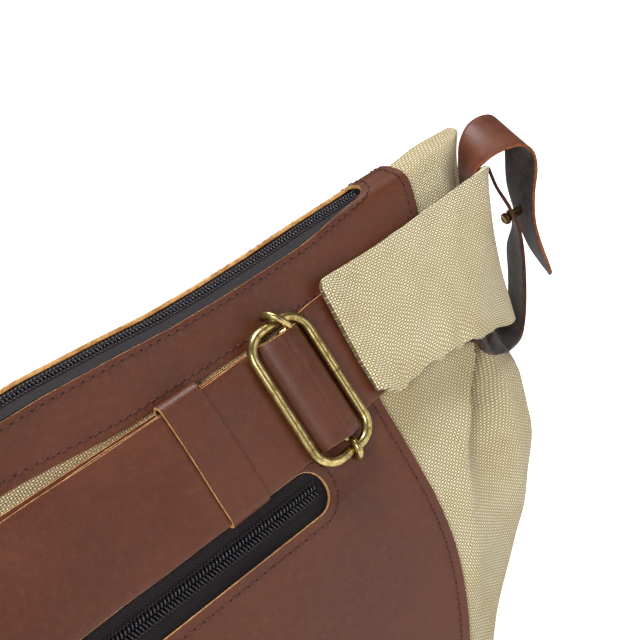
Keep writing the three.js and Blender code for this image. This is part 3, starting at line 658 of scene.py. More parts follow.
@dataclass(frozen=True)
class ClothFinish:
    """Woven cloth with a painted highlight on its raised yarns and painted shade between them."""

    name: str
    # Colour of the painted highlight on the yarn crowns; gap is the colour of the painted shade between the
    # yarns.
    bead: tuple[float, ...]
    weft: tuple[float, ...]
    gap: tuple[float, ...]
    stain: tuple[float, ...]
    pitch: float = 1.05
    waver: float = 0.16
    relief: float = 0.00030
    sheen: float = 0.15

    def dress(self, effects: Effects) -> bpy.types.Material:
        """Makes the material."""
        d = Dye(self.name, effects)
        w = d.w
        weave = d.group(effects.weave, Place=d.cloth_place(), Pitch=self.pitch, Waver=self.waver)
        age = d.group(effects.age, Place=d.place, Scale=1.0)
        # Painted highlight: the yarn crowns are lightened toward the highlight colour.
        yarn = w.mix(weave.outputs["Bead"], self.weft, self.bead)
        yarn = w.mix(w.math("MULTIPLY", age.outputs["Fleck"], 0.25), yarn, self.weft)
        stained = w.mix(w.math("MULTIPLY", age.outputs["Stain"], 0.5), yarn, self.stain, "MULTIPLY")
        # Painted shade: the gaps between the yarns are darkened toward the gap colour.
        tone = w.mix(weave.outputs["Gap"], stained, self.gap)
        fuzz = w.noise(d.place, 4200.0, 2.0)
        height = w.math("ADD", weave.outputs["Height"], w.math("MULTIPLY", fuzz, 0.12))
        d.set(Base_Color=tone, Roughness=w.ramp(fuzz, 0.3, 0.7, 0.82, 0.95), Sheen_Weight=self.sheen,
              Sheen_Roughness=0.6, Specular_IOR_Level=0.25, Normal=w.bump(height, 1.0, self.relief))
        return d.material


@dataclass(frozen=True)
class LeatherFinish:
    """Smooth dyed leather with a fine grain and a waxed glow."""

    name: str
    dark: tuple[float, ...]
    light: tuple[float, ...]
    worn: tuple[float, ...]
    rough: tuple[float, float] = (0.40, 0.54)
    coat: float = 0.06
    relief: float = 0.00005

    def dress(self, effects: Effects) -> bpy.types.Material:
        """Makes the material."""
        d = Dye(self.name, effects)
        w = d.w
        grain = d.group(effects.grain, Place=d.place, Scale=1.0)
        age = d.group(effects.age, Place=d.place, Scale=0.7)
        tone = w.mix(w.ramp(grain.outputs["Mottle"], 0.36, 0.64), self.dark, self.light)
        tone = w.mix(w.math("MULTIPLY", age.outputs["Fleck"], 0.16), tone, self.worn)
        tone = w.mix(w.math("MULTIPLY", grain.outputs["Pores"], 0.22), tone, self.dark)
        swell = w.noise(d.place, 70.0, 2.0)
        soft = w.bump(swell, 0.35, 0.0012)
        d.set(Base_Color=tone, Roughness=w.ramp(grain.outputs["Mottle"], 0.35, 0.65, *self.rough),
              Coat_Weight=self.coat, Coat_Roughness=0.3, Specular_IOR_Level=0.42,
              Normal=w.bump(grain.outputs["Height"], 0.8, self.relief, soft))
        return d.material


@dataclass(frozen=True)
class FibreFinish:
    """A raw cut or the flesh side of leather: matt fibres with streaks."""

    name: str
    dark: tuple[float, ...]
    light: tuple[float, ...]
    relief: float = 0.00012
    rough: float = 0.8

    def dress(self, effects: Effects) -> bpy.types.Material:
        """Makes the material."""
        d = Dye(self.name, effects)
        w = d.w
        long = w.noise(w.stretched(d.place, 500.0, 1900.0, 1900.0), 1.0, 3.0, 0.6)
        clump = w.noise(d.place, 260.0, 3.0, 0.6)
        share = w.math("ADD", w.math("MULTIPLY", long, 0.5), w.math("MULTIPLY", clump, 0.5))
        d.set(Base_Color=w.mix(w.ramp(share, 0.38, 0.62), self.dark, self.light), Roughness=self.rough,
              Sheen_Weight=0.12, Sheen_Roughness=0.5, Specular_IOR_Level=0.3,
              Normal=w.bump(share, 0.9, self.relief))
        return d.material


@dataclass(frozen=True)
class BrassFinish:
    """Aged brass: warm bright metal with darker aged patches at random, and fine rubbing marks."""

    name: str
    bright: tuple[float, ...]
    aged: tuple[float, ...]
    rough: tuple[float, float] = (0.24, 0.42)

    def dress(self, effects: Effects) -> bpy.types.Material:
        """Makes the material."""
        d = Dye(self.name, effects)
        w = d.w
        age = d.group(effects.age, Place=d.place, Scale=3.0)
        patch = w.noise(d.place, 380.0, 4.0, 0.65)
        tone = w.mix(w.ramp(patch, 0.4, 0.68), self.bright, self.aged)
        tone = w.mix(w.math("MULTIPLY", age.outputs["Stain"], 0.35), tone, self.aged)
        marks = w.noise(w.stretched(d.place, 900.0, 5000.0, 2400.0), 1.0, 2.0)
        d.set(Base_Color=tone, Metallic=1.0, Roughness=w.ramp(patch, 0.35, 0.7, *self.rough),
              Normal=w.bump(w.math("ADD", w.math("MULTIPLY", marks, 0.4), patch), 0.35, 0.00006))
        return d.material


@dataclass(frozen=True)
class PlainFinish:
    """Moulded or spun small parts: one tone with a slight change and a fine relief."""

    name: str
    dark: tuple[float, ...]
    light: tuple[float, ...]
    rough: float
    scale: float = 900.0
    relief: float = 0.00004

    def dress(self, effects: Effects) -> bpy.types.Material:
        """Makes the material."""
        d = Dye(self.name, effects)
        w = d.w
        spun = w.noise(d.place, self.scale, 3.0, 0.6)
        d.set(Base_Color=w.mix(w.ramp(spun, 0.35, 0.65), self.dark, self.light), Roughness=self.rough,
              Specular_IOR_Level=0.5, Normal=w.bump(spun, 0.8, self.relief))
        return d.material


class Wardrobe:
    """Every material of the bag, made once."""

    def __init__(self) -> None:
        """Makes the materials."""
        e = Effects()
        # For the canvas, the first colour is the painted highlight on yarn crowns and the third is the
        # painted shade between yarns.
        bead, weft, gap = colour(255, 250, 226), colour(214, 198, 154), colour(112, 92, 54)
        self.canvas = ClothFinish("canvas", bead, weft, gap, colour(228, 214, 184), pitch=0.8,
                                  waver=0.09).dress(e)
        # For the zip tape, the first colour is the painted highlight on yarn crowns and the third is the
        # painted shade between yarns.
        self.tape = ClothFinish("zip_tape", colour(44, 33, 40), colour(30, 22, 28), colour(12, 9, 12),
                                colour(200, 190, 200), pitch=0.62, waver=0.05, relief=0.00018,
                                sheen=0.1).dress(e)
        self.leather = LeatherFinish("leather", colour(77, 34, 14), colour(89, 42, 18),
                                     colour(116, 66, 36)).dress(e)
        self.loop_leather = LeatherFinish("loop_leather", colour(84, 40, 24), colour(110, 58, 36),
                                          colour(134, 80, 54)).dress(e)
        self.raw_edge = FibreFinish("raw_edge", colour(172, 114, 56), colour(226, 174, 108)).dress(e)
        self.loop_edge = FibreFinish("loop_edge", colour(84, 38, 14), colour(150, 82, 34)).dress(e)
        # A darker copy of the loop edge for the lower straps: painted shade.
        self.painted_shade_loop_edge = FibreFinish("painted_shade_loop_edge", colour(44, 20, 10), colour(86, 42, 22)).dress(e)
        self.flesh = FibreFinish("flesh_side", colour(32, 24, 20), colour(66, 56, 51), rough=0.9).dress(e)
        self.brass = BrassFinish("brass", colour(206, 186, 126), colour(132, 112, 66)).dress(e)
        self.zip_metal = BrassFinish("zip_metal", colour(190, 168, 110), colour(110, 90, 44)).dress(e)
        self.tape_thread = PlainFinish("tape_thread", colour(30, 22, 28), colour(58, 46, 54), 0.6, 2200.0,
                                       0.00008).dress(e)
        self.coil = PlainFinish("zip_coil", colour(24, 24, 28), colour(52, 50, 58), 0.24).dress(e)
        self.thread = PlainFinish("thread", colour(62, 26, 20), colour(96, 44, 34), 0.75, 2200.0,
                                  0.00008).dress(e)
        # Needle holes: dark discs of painted shade laid on the leather where the holes are.
        self.hole = PlainFinish("needle_hole_painted_shade", colour(18, 8, 6), colour(34, 16, 12), 0.9).dress(e)


def paint(obj: bpy.types.Object, *materials: bpy.types.Material) -> None:
    """Adds a piece's materials, in the order of its faces' indices."""
    for material in materials:
        obj.data.materials.append(material)


def settle(obj: bpy.types.Object, slot: Slot, *nodes: str) -> None:
    """Makes a piece ride on the bag's body, hides the nodes it stands for, and logs its face count."""
    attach(obj, BODY)
    if nodes:
        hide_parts(*nodes)
    LOG.info("%s: %d faces", obj.name, len(obj.data.polygons))


# The body's form, which the band, the panel and the belt follow

# z and half = shares of HEIGHT and HALF_LENGTH, end = rounded end's length, front and back = insets,
# lift = share of an outer layer's thickness that raises it there
SECTIONS = (
    (0, 0.38, 30, 6, 5, 0), (0.0168, 0.43, 34, 1.8, 1.6, 0), (0.0538, 0.5, 40, 0, 0, 0),
    (0.121, 0.575, 46, 0, 0, 0), (0.2017, 0.678, 51, 0, 0, 0), (0.2892, 0.79, 53, 0, 0, 0),
    (0.3766, 0.862, 54, 0, 0, 0), (0.464, 0.895, 53, 0, 0, 0), (0.5447, 0.878, 49, 0, 0, 0),
    (0.6254, 0.866, 40, 0, 0, 0), (0.7263, 0.874, 31, 0, 0, 0), (0.8204, 0.903, 22, 0, 0, 0),
    (0.9011, 0.962, 18, 0, 0, 0), (0.9482, 0.988, 17, 0, 0, 0), (0.9792, 1.006, 15, 0, 2.2, 0.4),
    (0.9899, 1.013, 14, 1, 5, 0.7), (0.9966, 1.012, 12, 4.6, 7.4, 0.9), (1, 1.002, 10, 6.2, 8.4, 1),
)
SECTION_STEPS = 7
# turn = degrees round the end from its tip toward the front (minus), width in degrees, z and tall =
# shares of HEIGHT, out = depth, lean = degrees it turns by over a whole HEIGHT of fall
FOLDS = (
    (-40, 9, 0.444, 0.148, 1.6, 0), (-22, 9, 0.592, 0.094, -3.0, 0), (-38, 14, 0.202, 0.108, 1.5, 0),
    (20, 12, 0.538, 0.161, -2.5, 0), (48, 12, 0.444, 0.175, 2.0, 0), (-50, 22, 0.888, 0.081, -1.6, 0),
    (-34, 6, 0.36, 0.08, -0.8, 40), (-58, 7, 0.30, 0.10, -0.9, 30), (-12, 6, 0.42, 0.14, -0.9, 0),
    (4, 7, 0.34, 0.2, 0.8, 0), (33, 6, 0.45, 0.2, -1.1, 0), (62, 7, 0.55, 0.2, -1.0, 0),
    (-70, 8, 0.20, 0.08, -0.7, 30), (-20, 8, 0.15, 0.08, -0.8, 0), (-34, 8, 0.93, 0.06, -1.2, 0),
)
# The sharp fold below the belt's end: height, turn of its ridge, turn to the next ridge, depth between them
MAIN_FOLD = (
    (16, -74, 40, 0), (28, -78, 40, 1.4), (40, -86, 40, 3.0), (49, -92, 40, 4.6), (62, -92, 36, 6.6),
    (70, -88, 31, 8.2), (76, -80, 26, 9.0), (82, -72, 22, 9.4), (90, -64, 19, 9.0), (104, -58, 17, 6.0),
    (122, -56, 16, 0),
)
# Its shape: place as a share of the way to the next ridge, and share of its depth
FOLD_SHAPE = (
    (-1.6, 0), (-0.5, 0.1), (-0.12, 0.26), (0, 0.34), (0.1, 0.0), (0.22, -0.55), (0.42, -0.95),
    (0.62, -0.8), (0.84, -0.1), (1, 0.26), (1.2, 0.08), (1.9, 0),
)
RISE_FROM = 0.901
# x and height of the slow sway of the ridge, whose top sags beside the middle
RIDGE_SWAY = (
    (-168, 0), (-150, 0.9), (-128, 2.8), (-60, 3.0), (-8, 3.4), (2, 2.8), (18, 1.9), (35, 0.6), (54, 0.4),
    (74, 0.9), (94, 1.9), (116, 2.5), (139, 2.8), (152, 1.0), (168, 0.6),
)
SWAY_FROM = 135.0
SWAY_TALL = 12.5


def section_rows() -> np.ndarray:
    """The body's sections, drawn smoothly from the base up."""
    table = np.array(SECTIONS, float)
    rows = spline(table, np.linspace(0, 1, (len(table) - 1) * SECTION_STEPS + 1))
    rows[:, 5] = np.clip(rows[:, 5], 0, 1)
    return rows


def end_rise(x: np.ndarray, z: np.ndarray | float) -> np.ndarray:
    """How much higher the canvas stands past the ends of the leather band."""
    beyond = smoothstep(np.abs(x) / HALF_LENGTH, 0.798, 0.917)
    return END_RISE * beyond * np.clip((np.asarray(z) / HEIGHT - RISE_FROM) / (1 - RISE_FROM), 0, 1)


def ridge_sway(x: np.ndarray, z: np.ndarray | float) -> np.ndarray:
    """How much higher the top stands at X than a straight ridge."""
    table = np.array(RIDGE_SWAY, float)
    return np.interp(x, table[:, 0], table[:, 1]) * np.clip((np.asarray(z) - SWAY_FROM) / SWAY_TALL, 0, 1)


def fold_depth(turn: np.ndarray, z: float) -> np.ndarray:
    """Depth of the folds round an end at a height."""
    share = z / HEIGHT
    main, shape = np.array(MAIN_FOLD, float), np.array(FOLD_SHAPE, float)
    ridge, way, deep = (float(np.interp(z, main[:, 0], main[:, i])) for i in (1, 2, 3))
    total = deep * np.interp((turn - ridge) / way, shape[:, 0], shape[:, 1])
    for centre, width, at, tall, out, lean in FOLDS:
        a = (turn - centre - lean * (at - share)) / width
        total += out * np.exp(-a * a - ((share - at) / tall) ** 2)
    return total


@dataclass
class RidgeProfile:
    """The bag's cross section over its top, from the front down over the ridge to the back.

    Attributes:
        grow: height of the layer above the canvas.
        low: height where the profile starts and ends.
    """

    grow: float
    low: float = HEIGHT - 18.2
    line: np.ndarray = field(init=False)
    along: np.ndarray = field(init=False)

    def __post_init__(self) -> None:
        """Draws the profile."""
        front, back = [], []
        for z_share, _, _, inset_f, inset_b, lift in section_rows():
            z = z_share * HEIGHT
            if z >= self.low - 1:
                height = z + lift * self.grow
                front.append((front_y(z) + inset_f - self.grow * SLOPE, height))
                back.append((BACK_Y - inset_b + self.grow, height))
        line = np.array(front + back[::-1])
        start = front_y(self.low) - self.grow * SLOPE
        line = line[line[:, 1] > self.low]
        line = np.vstack([[start, self.low], line, [BACK_Y + self.grow, self.low]])
        self.line = resample(line, 400)
        for _ in range(14):
            self.line[1:-1] = (self.line[:-2] + 2 * self.line[1:-1] + self.line[2:]) / 4
        self.along = lengths(self.line)

    @property
    def length(self) -> float:
        """Length of the whole profile."""
        return float(self.along[-1])

    def at_y(self, y: float) -> float:
        """Distance along the profile where it reaches a Y."""
        return float(np.interp(y, np.maximum.accumulate(self.line[:, 0]), self.along))

    def place(self, x: np.ndarray, s: np.ndarray) -> np.ndarray:
        """Points at X and at distances along the profile."""
        y = np.interp(s, self.along, self.line[:, 0])
        z = np.interp(s, self.along, self.line[:, 1])
        return np.stack([x, y, z + end_rise(x, z) + ridge_sway(x, z)], -1)

    def normal(self, s: np.ndarray) -> np.ndarray:
        """Outward directions at distances along the profile."""
        step = 0.4
        a = self.place(np.zeros_like(s), np.clip(s - step, 0, self.length))
        b = self.place(np.zeros_like(s), np.clip(s + step, 0, self.length))
        way = b - a
        out = np.stack([np.zeros(len(s)), -way[:, 2], way[:, 1]], -1)
        return out / np.linalg.norm(out, axis=1, keepdims=True)


@dataclass
class CanvasBody:
    """The canvas shell: its skin with folded ends, its wall and its two zip openings."""

    wardrobe: Wardrobe
    end_steps: int = 120
    side_steps: int = 34
    slot_near: float = 8.1
    slot_far: float = 4.6
    wall_fade: float = 5.0
    least_wall: float = 0.04

    def ring(self, row: np.ndarray, shut: float = 1.0) -> np.ndarray:
        """One closed level of the skin, from the middle of the back by the right end to the back again.

        Args:
            row: one row of section values.
            shut: share of the depth that is left, to close the ridge.

        Returns:
            Its points.
        """
        z = row[0] * HEIGHT
        front = front_y(z) + row[3]
        back = BACK_Y - row[4]
        middle, depth = (front + back) / 2, max((back - front) / 2, 0.8) * shut
        reach, end = HALF_LENGTH * row[1], row[2]
        turn = np.linspace(90, -90, self.end_steps + 1)
        a = np.radians(turn)
        fold = fold_depth(turn, z) * np.clip(np.cos(a), 0, 1) ** 0.25
        arc_x = reach - end + (end + fold) * np.cos(a)
        arc_y = middle + (depth + fold * shut) * np.sin(a)
        straight = np.linspace(0, 1, self.side_steps + 1)[:-1]
        x = np.concatenate([straight * arc_x[0], arc_x, straight[::-1] * arc_x[-1]])
        y = np.concatenate([np.full(self.side_steps, arc_y[0]), arc_y, np.full(self.side_steps, arc_y[-1])])
        x = np.concatenate([x, -x[-2::-1]])
        y = np.concatenate([y, y[-2::-1]])
        return np.stack([x, y, z + end_rise(x, z) + ridge_sway(x, z)], 1)

    def skin(self) -> bpy.types.Object:
        """The outer skin, closed at its base and ridge, with cloth coordinates."""
        sections = section_rows()
        rings = [self.ring(row) for row in sections]
        base = rings[0]
        centre = base.mean(0)
        floor_rings = [centre + (base - centre) * np.array([k, k, 1]) for k in (0.0, 0.35, 0.7)]
        ridge = self.ring(sections[-1], 0.0)
        ridge[:, 2] += 0.35
        rows = np.array(floor_rings + rings + [ridge])
        rows = self.rumple(rows)
        around = np.stack([lengths(row) for row in rows])
        around -= around[:, [rows.shape[1] // 2]]
        steps = np.linalg.norm(np.diff(rows, axis=0), axis=2).mean(1)
        up = np.repeat(np.concatenate([[0.0], np.cumsum(steps)])[:, None], rows.shape[1], 1)
        return grid_piece("canvas_shell", rows, np.stack([around, up], -1), weld_seam=True)

    def rumple(self, rows: np.ndarray) -> np.ndarray:
        """Adds the cloth's slow unevenness to the free parts of the skin.

        Args:
            rows: the skin's rows, from the base up.

        Returns:
            The moved rows.
        """
        x, y, z = rows[..., 0], rows[..., 1], rows[..., 2]
        free = smoothstep(np.abs(x) / HALF_LENGTH, 0.5, 0.62) * smoothstep(z, 3, 14)
        free *= 1 - smoothstep(z, HEIGHT - 6, HEIGHT)
        wave = np.sin(x * 0.16 + z * 0.21) + np.sin(z * 0.33 - y * 0.27 + 1.3)
        wave = (wave + np.sin(x * 0.31 - z * 0.12 + y * 0.2 + 0.4)) / 3
        moved = rows.copy()
        moved[..., 1] -= 0.55 * wave * free
        moved[..., 0] += 0.45 * wave * free * np.sign(x)
        return moved

    def cutter(self, outline: np.ndarray, low: float, high: float) -> bpy.types.Object:
        """A prism of an outline, used to open the shell."""
        count = len(outline) - 1
        ring = np.hstack([outline[:-1], np.zeros((count, 1))])
        points = np.vstack([ring + [0, 0, low], ring + [0, 0, high]])
        faces = [[i, (i + 1) % count, count + (i + 1) % count, count + i] for i in range(count)]
        faces += [list(range(count))[::-1], list(range(count, 2 * count))]
        return raw_piece("cutter", points, faces)

    def thin_ridge(self, shell: bpy.types.Object) -> None:
        """Weighs the wall so that it thins where both sides meet at the ridge."""
        group = shell.vertex_groups.new(name="wall")
        for vertex in shell.data.vertices:
            x, _, z = vertex.co / MM
            at = np.array([x])
            top = HEIGHT + float(end_rise(at, HEIGHT)[0]) + float(ridge_sway(at, HEIGHT)[0])
            weight = min(1.0, max(self.least_wall, (top - z) / self.wall_fade))
            group.add([vertex.index], weight, "REPLACE")

    def open_slots(self, shell: bpy.types.Object) -> None:
        """Cuts both zip openings through the wall."""
        near, far = self.slot_near, self.slot_far
        top = rounded(-ZIP_HALF - 1.5, ZIP_Y - near, ZIP_HALF + 1.5, ZIP_Y + far, (near + far) / 2 - 0.4, 8,
                      (8, 2))
        tools = [self.cutter(top, BAND_LOW, HEIGHT + 20)]
        half_w = FRONT_ZIP_WIDTH / 2 + 2
        hole = rounded(-FRONT_ZIP_HALF - 2, -half_w, FRONT_ZIP_HALF + 2, half_w, 7.4, 8, (8, 2))
        tool = self.cutter(hole, -5, 3)
        flat = np.array([v.co for v in tool.data.vertices]) / MM
        tool.data.vertices.foreach_set("co", (on_front(flat[:, 0], flat[:, 1] + slope_of(FRONT_ZIP_Z),
                                                       flat[:, 2]) * MM).ravel())
        tools.append(tool)
        for tool in tools:
            weld(tool, True)
            modify(shell, "BOOLEAN", object=tool, operation="DIFFERENCE", solver="EXACT")
            bpy.data.objects.remove(tool)

    def build(self) -> None:
        """Makes the shell and dresses it."""
        shell = self.skin()
        weld(shell, True)
        self.thin_ridge(shell)
        modify(shell, "SOLIDIFY", thickness=CANVAS_WALL * MM, offset=-1.0, vertex_group="wall")
        self.open_slots(shell)
        smooth(shell, 50)
        paint(shell, self.wardrobe.canvas)
        settle(shell, Slot.CANVAS, "canvas_body")


BAND_LOW = HEIGHT - 15.2


@dataclass(frozen=True)
class StitchRow:
    """The measure of a seam."""

    pitch: float = 3.2
    long: float = 2.4
    wide: float = 0.62
    high: float = 0.42


def sew(name: str, path: np.ndarray, normals: np.ndarray, row: StitchRow,
        wardrobe: Wardrobe) -> list[bpy.types.Object]:
    """A seam along a path: its stitches, and the needle holes between them.

    Args:
        name: of the pieces.
        path: points along the seam.
        normals: the surface's directions there.
        row: the seam's measure.
        wardrobe: the materials.

    Returns:
        The threads and the painted-shade discs for the holes.
    """
    both = resample(np.hstack([path, normals * 50]), 4000)
    along = lengths(both[:, :3])
    count = int(along[-1] / row.pitch)
    places = (np.arange(count) + 0.5) * along[-1] / count
    ends = np.arange(count + 1) * along[-1] / count

    def frames_at(at: np.ndarray) -> np.ndarray:
        """Placings at distances along the seam."""
        half = row.long / 2
        a, b = (np.stack([np.interp(np.clip(at + d, 0, along[-1]), along, both[:, i]) for i in range(6)], 1)
                for d in (-half, half))
        middle = np.stack([np.interp(at, along, both[:, i]) for i in range(6)], 1)
        way = b[:, :3] - a[:, :3]
        way /= np.linalg.norm(way, axis=1, keepdims=True)
        up = middle[:, 3:] / np.linalg.norm(middle[:, 3:], axis=1, keepdims=True)
        side = np.cross(up, way)
        side /= np.linalg.norm(side, axis=1, keepdims=True)
        made = np.zeros((len(at), 4, 4))
        made[:, :3] = np.stack([way, side, np.cross(way, side), middle[:, :3]], -1)
        made[:, 3, 3] = 1
        return made

    thread = repeat_shape(name + "_thread", lozenge(row.long, row.wide, row.high, 5, 6, 0.35),
                          frames_at(places))
    # Painted shade: flat dark discs stand for the needle holes.
    holes = repeat_shape(name + "_holes", lozenge(0.78, 0.66, 0.12, 3, 8, 0.0), frames_at(ends))
    for obj, material in ((thread, wardrobe.thread), (holes, wardrobe.hole)):
        smooth(obj, 60)
        paint(obj, material)
        settle(obj, Slot.LEATHER)
    return [thread, holes]


@dataclass
class RidgeBand:
    """The leather band over the ridge, cut out for the zip and sewn round both of its edges."""

    wardrobe: Wardrobe
    half: float = 135.5
    slot_half: float = 120.2
    corner: float = 14.0
    spare: float = 3.0
    wider: float = 3.4
    rows: int = 18
    seam_in: float = 3.0
    sides: tuple[int, int] = (150, 26)
    corner_steps: int = 12

    def outlines(self, profile: RidgeProfile) -> tuple[np.ndarray, np.ndarray]:
        """The slot's and the band's outline, as X and distance along the profile."""
        near, far = profile.at_y(ZIP_Y - ZIP_NEAR), profile.at_y(ZIP_Y + ZIP_FAR)
        inner = rounded(-self.slot_half, near, self.slot_half, far, (far - near) / 2 - 0.6,
                        self.corner_steps, self.sides)
        inner[:, 1] = far - (far - inner[:, 1]) * (1 - 0.2 * smoothstep(np.abs(inner[:, 0]), 85, 120))
        start = self.spare * SLOPE
        outer = rounded(-self.half, start, self.half, profile.length - self.spare, self.corner,
                        self.corner_steps, self.sides)
        front = 1 - smoothstep(outer[:, 1], start, start + 9)
        outer[:, 1] -= self.wider * smoothstep(outer[:, 0], -34, 14) * front
        return inner, outer

    def build(self) -> None:
        """Makes the band and its seams."""
        profile = RidgeProfile(GAP + LEATHER / 2)
        inner, outer = self.outlines(profile)
        share = np.linspace(0, 1, self.rows)[None, :, None]
        flat = inner[:, None] * (1 - share) + outer[:, None] * share
        rows = profile.place(flat[..., 0], flat[..., 1])
        band = grid_piece("ridge_band", rows, flat, weld_seam=True)
        paint(band, self.wardrobe.leather, self.wardrobe.raw_edge)
        thicken(band, LEATHER, 0.25)
        smooth(band)
        settle(band, Slot.LEATHER, "top_band")
        top = RidgeProfile(GAP + LEATHER)
        inner, outer = self.outlines(top)
        for name, line in (("slot_seam", outline_offset(inner, self.seam_in)),
                           ("band_seam", outline_offset(outer, -self.seam_in))):
            sew(name, top.place(line[:, 0], line[:, 1]), top.normal(line[:, 1]), StitchRow(), self.wardrobe)


def flat_plate(name: str, outlines: Sequence[np.ndarray], thickness: float, rim: float) -> bpy.types.Object:
    """A level plate with holes and rounded rims, from outlines in millimetres, its middle at Z 0.

    Args:
        name: of the piece.
        outlines: the outer outline and its holes, each closed.
        thickness: of the plate.
        rim: radius of its rims.

    Returns:
        The piece, with its rim on the second material.
    """
    curve = bpy.data.curves.new(name, "CURVE")
    curve.dimensions = "2D"
    curve.fill_mode = "BOTH"
    curve.extrude = (thickness / 2 - rim) * MM
    curve.bevel_depth = rim * MM
    curve.bevel_resolution = 2
    curve.offset = -rim * MM
    for outline in outlines:
        line = curve.splines.new("POLY")
        line.points.add(len(outline) - 2)
        points = outline[:-1]
        line.points.foreach_set("co", np.hstack([points * MM, np.zeros((len(points), 1)),
                                                 np.ones((len(points), 1))]).ravel())
        line.use_cyclic_u = True
    obj = bpy.data.objects.new(name, curve)
    bpy.context.scene.collection.objects.link(obj)
    activate(obj)
    bpy.ops.object.convert(target="MESH")
    obj = bpy.context.object
    weld(obj, True)
    for face in obj.data.polygons:
        face.material_index = 0 if abs(face.normal.z) > 0.9 else 1
    return obj


def move_mesh(obj: bpy.types.Object, place: Callable[[np.ndarray], np.ndarray]) -> None:
    """Moves every vertex by a function of points in millimetres."""
    flat = np.zeros(len(obj.data.vertices) * 3)
    obj.data.vertices.foreach_get("co", flat)
    obj.data.vertices.foreach_set("co", (place(flat.reshape(-1, 3) / MM) * MM).ravel())
    obj.data.update()


@dataclass
class FrontPanel:
    """The leather pocket panel on the front, cut out for its zip."""

    wardrobe: Wardrobe
    seam_in: float = 3.2
    # z = share of HEIGHT, half = half width there as a share of HALF_LENGTH
    edge: tuple = (
        (0.869, 0.497), (0.7397, 0.4917), (0.6187, 0.4857), (0.5044, 0.4833), (0.4169, 0.4774),
        (0.3362, 0.4619), (0.269, 0.4369), (0.1883, 0.3929), (0.1143, 0.3363), (0.0706, 0.2679),
        (0.0538, 0.1964),
    )

    def outline(self) -> np.ndarray:
        """The panel's outline as X and slope, counter-clockwise."""
        table = np.array([(half * HALF_LENGTH, slope_of(z * HEIGHT)) for z, half in self.edge])
        right = resample(spline(table, np.linspace(0, 1, 200)), 120)
        line = np.vstack([right[::-1], right * [-1, 1]])
        return np.vstack([line, line[:1]])

    def build(self) -> None:
        """Makes the panel and its seams."""
        outer = self.outline()
        half_w = FRONT_ZIP_WIDTH / 2 + 1.5
        slope = slope_of(FRONT_ZIP_Z)
        hole = rounded(-FRONT_ZIP_HALF, slope - half_w, FRONT_ZIP_HALF, slope + half_w, half_w - 0.3, 14,
                       (80, 2))
        panel = flat_plate("pocket_panel", [outer, hole], LEATHER, 0.25)
        move_mesh(panel, lambda p: on_front(p[:, 0], p[:, 1], p[:, 2] + GAP + LEATHER / 2))
        smooth(panel)
        paint(panel, self.wardrobe.leather, self.wardrobe.raw_edge)
        settle(panel, Slot.LEATHER, "front_panel")
        inside = outline_offset(outer, -self.seam_in)
        keep = np.abs(np.gradient(inside[:, 1])) < 20
        round_hole = outline_offset(hole, 3.0)
        normal = np.array([0, -1, FRONT_LEAN]) / SLOPE
        for name, line in (("panel_seam", inside[keep]), ("pocket_seam", round_hole)):
            path = on_front(line[:, 0], line[:, 1], PANEL_OUT)
            sew(name, path, np.broadcast_to(normal, path.shape), StitchRow(), self.wardrobe)


@dataclass(frozen=True)
class Bench:
    """A local frame in which a part is laid out before it goes to its place."""

    matrix: np.ndarray

    @classmethod
    def on_front_plane(cls, x: float, z: float, turn: float = 0.0) -> "Bench":
        """A frame on the leaning front plane: X along the bag, Y up the slope and Z out."""
        made = np.eye(4)
        up, out = np.array([0, FRONT_LEAN, 1]) / SLOPE, np.array([0, -1, FRONT_LEAN]) / SLOPE
        level = np.array([1.0, 0, 0])
        made[:3, 0] = level * math.cos(turn) + up * math.sin(turn)
        made[:3, 1] = up * math.cos(turn) - level * math.sin(turn)
        made[:3, 2] = out
        made[:3, 3] = on_front(x, slope_of(z), 0.0)
        return cls(made)

    @classmethod
    def tilted(cls, y: float, z: float, tilt: float) -> "Bench":
        """A level frame turned about X."""
        made = np.eye(4)
        made[1:3, 1:3] = [[math.cos(tilt), -math.sin(tilt)], [math.sin(tilt), math.cos(tilt)]]
        made[1:3, 3] = [y, z]
        return cls(made)

    def place(self, points: np.ndarray) -> np.ndarray:
        """Local points in the row frame."""
        return points @ self.matrix[:3, :3].T + self.matrix[:3, 3]

    def home(self, points: np.ndarray) -> np.ndarray:
        """Points of the row frame in the local one."""
        return (points - self.matrix[:3, 3]) @ self.matrix[:3, :3]

    def turn(self, vectors: np.ndarray) -> np.ndarray:
        """Local directions in the row frame."""
        return vectors @ self.matrix[:3, :3].T


# Zips


@dataclass(frozen=True)
class ZipSize:
    """The sizes of one zip, in its own frame."""

    name: str
    node: str
    half: float
    tape: tuple[float, float]
    tape_low: float
    coil_half: float
    coil_low: float
    slider_x: float
    pull: float


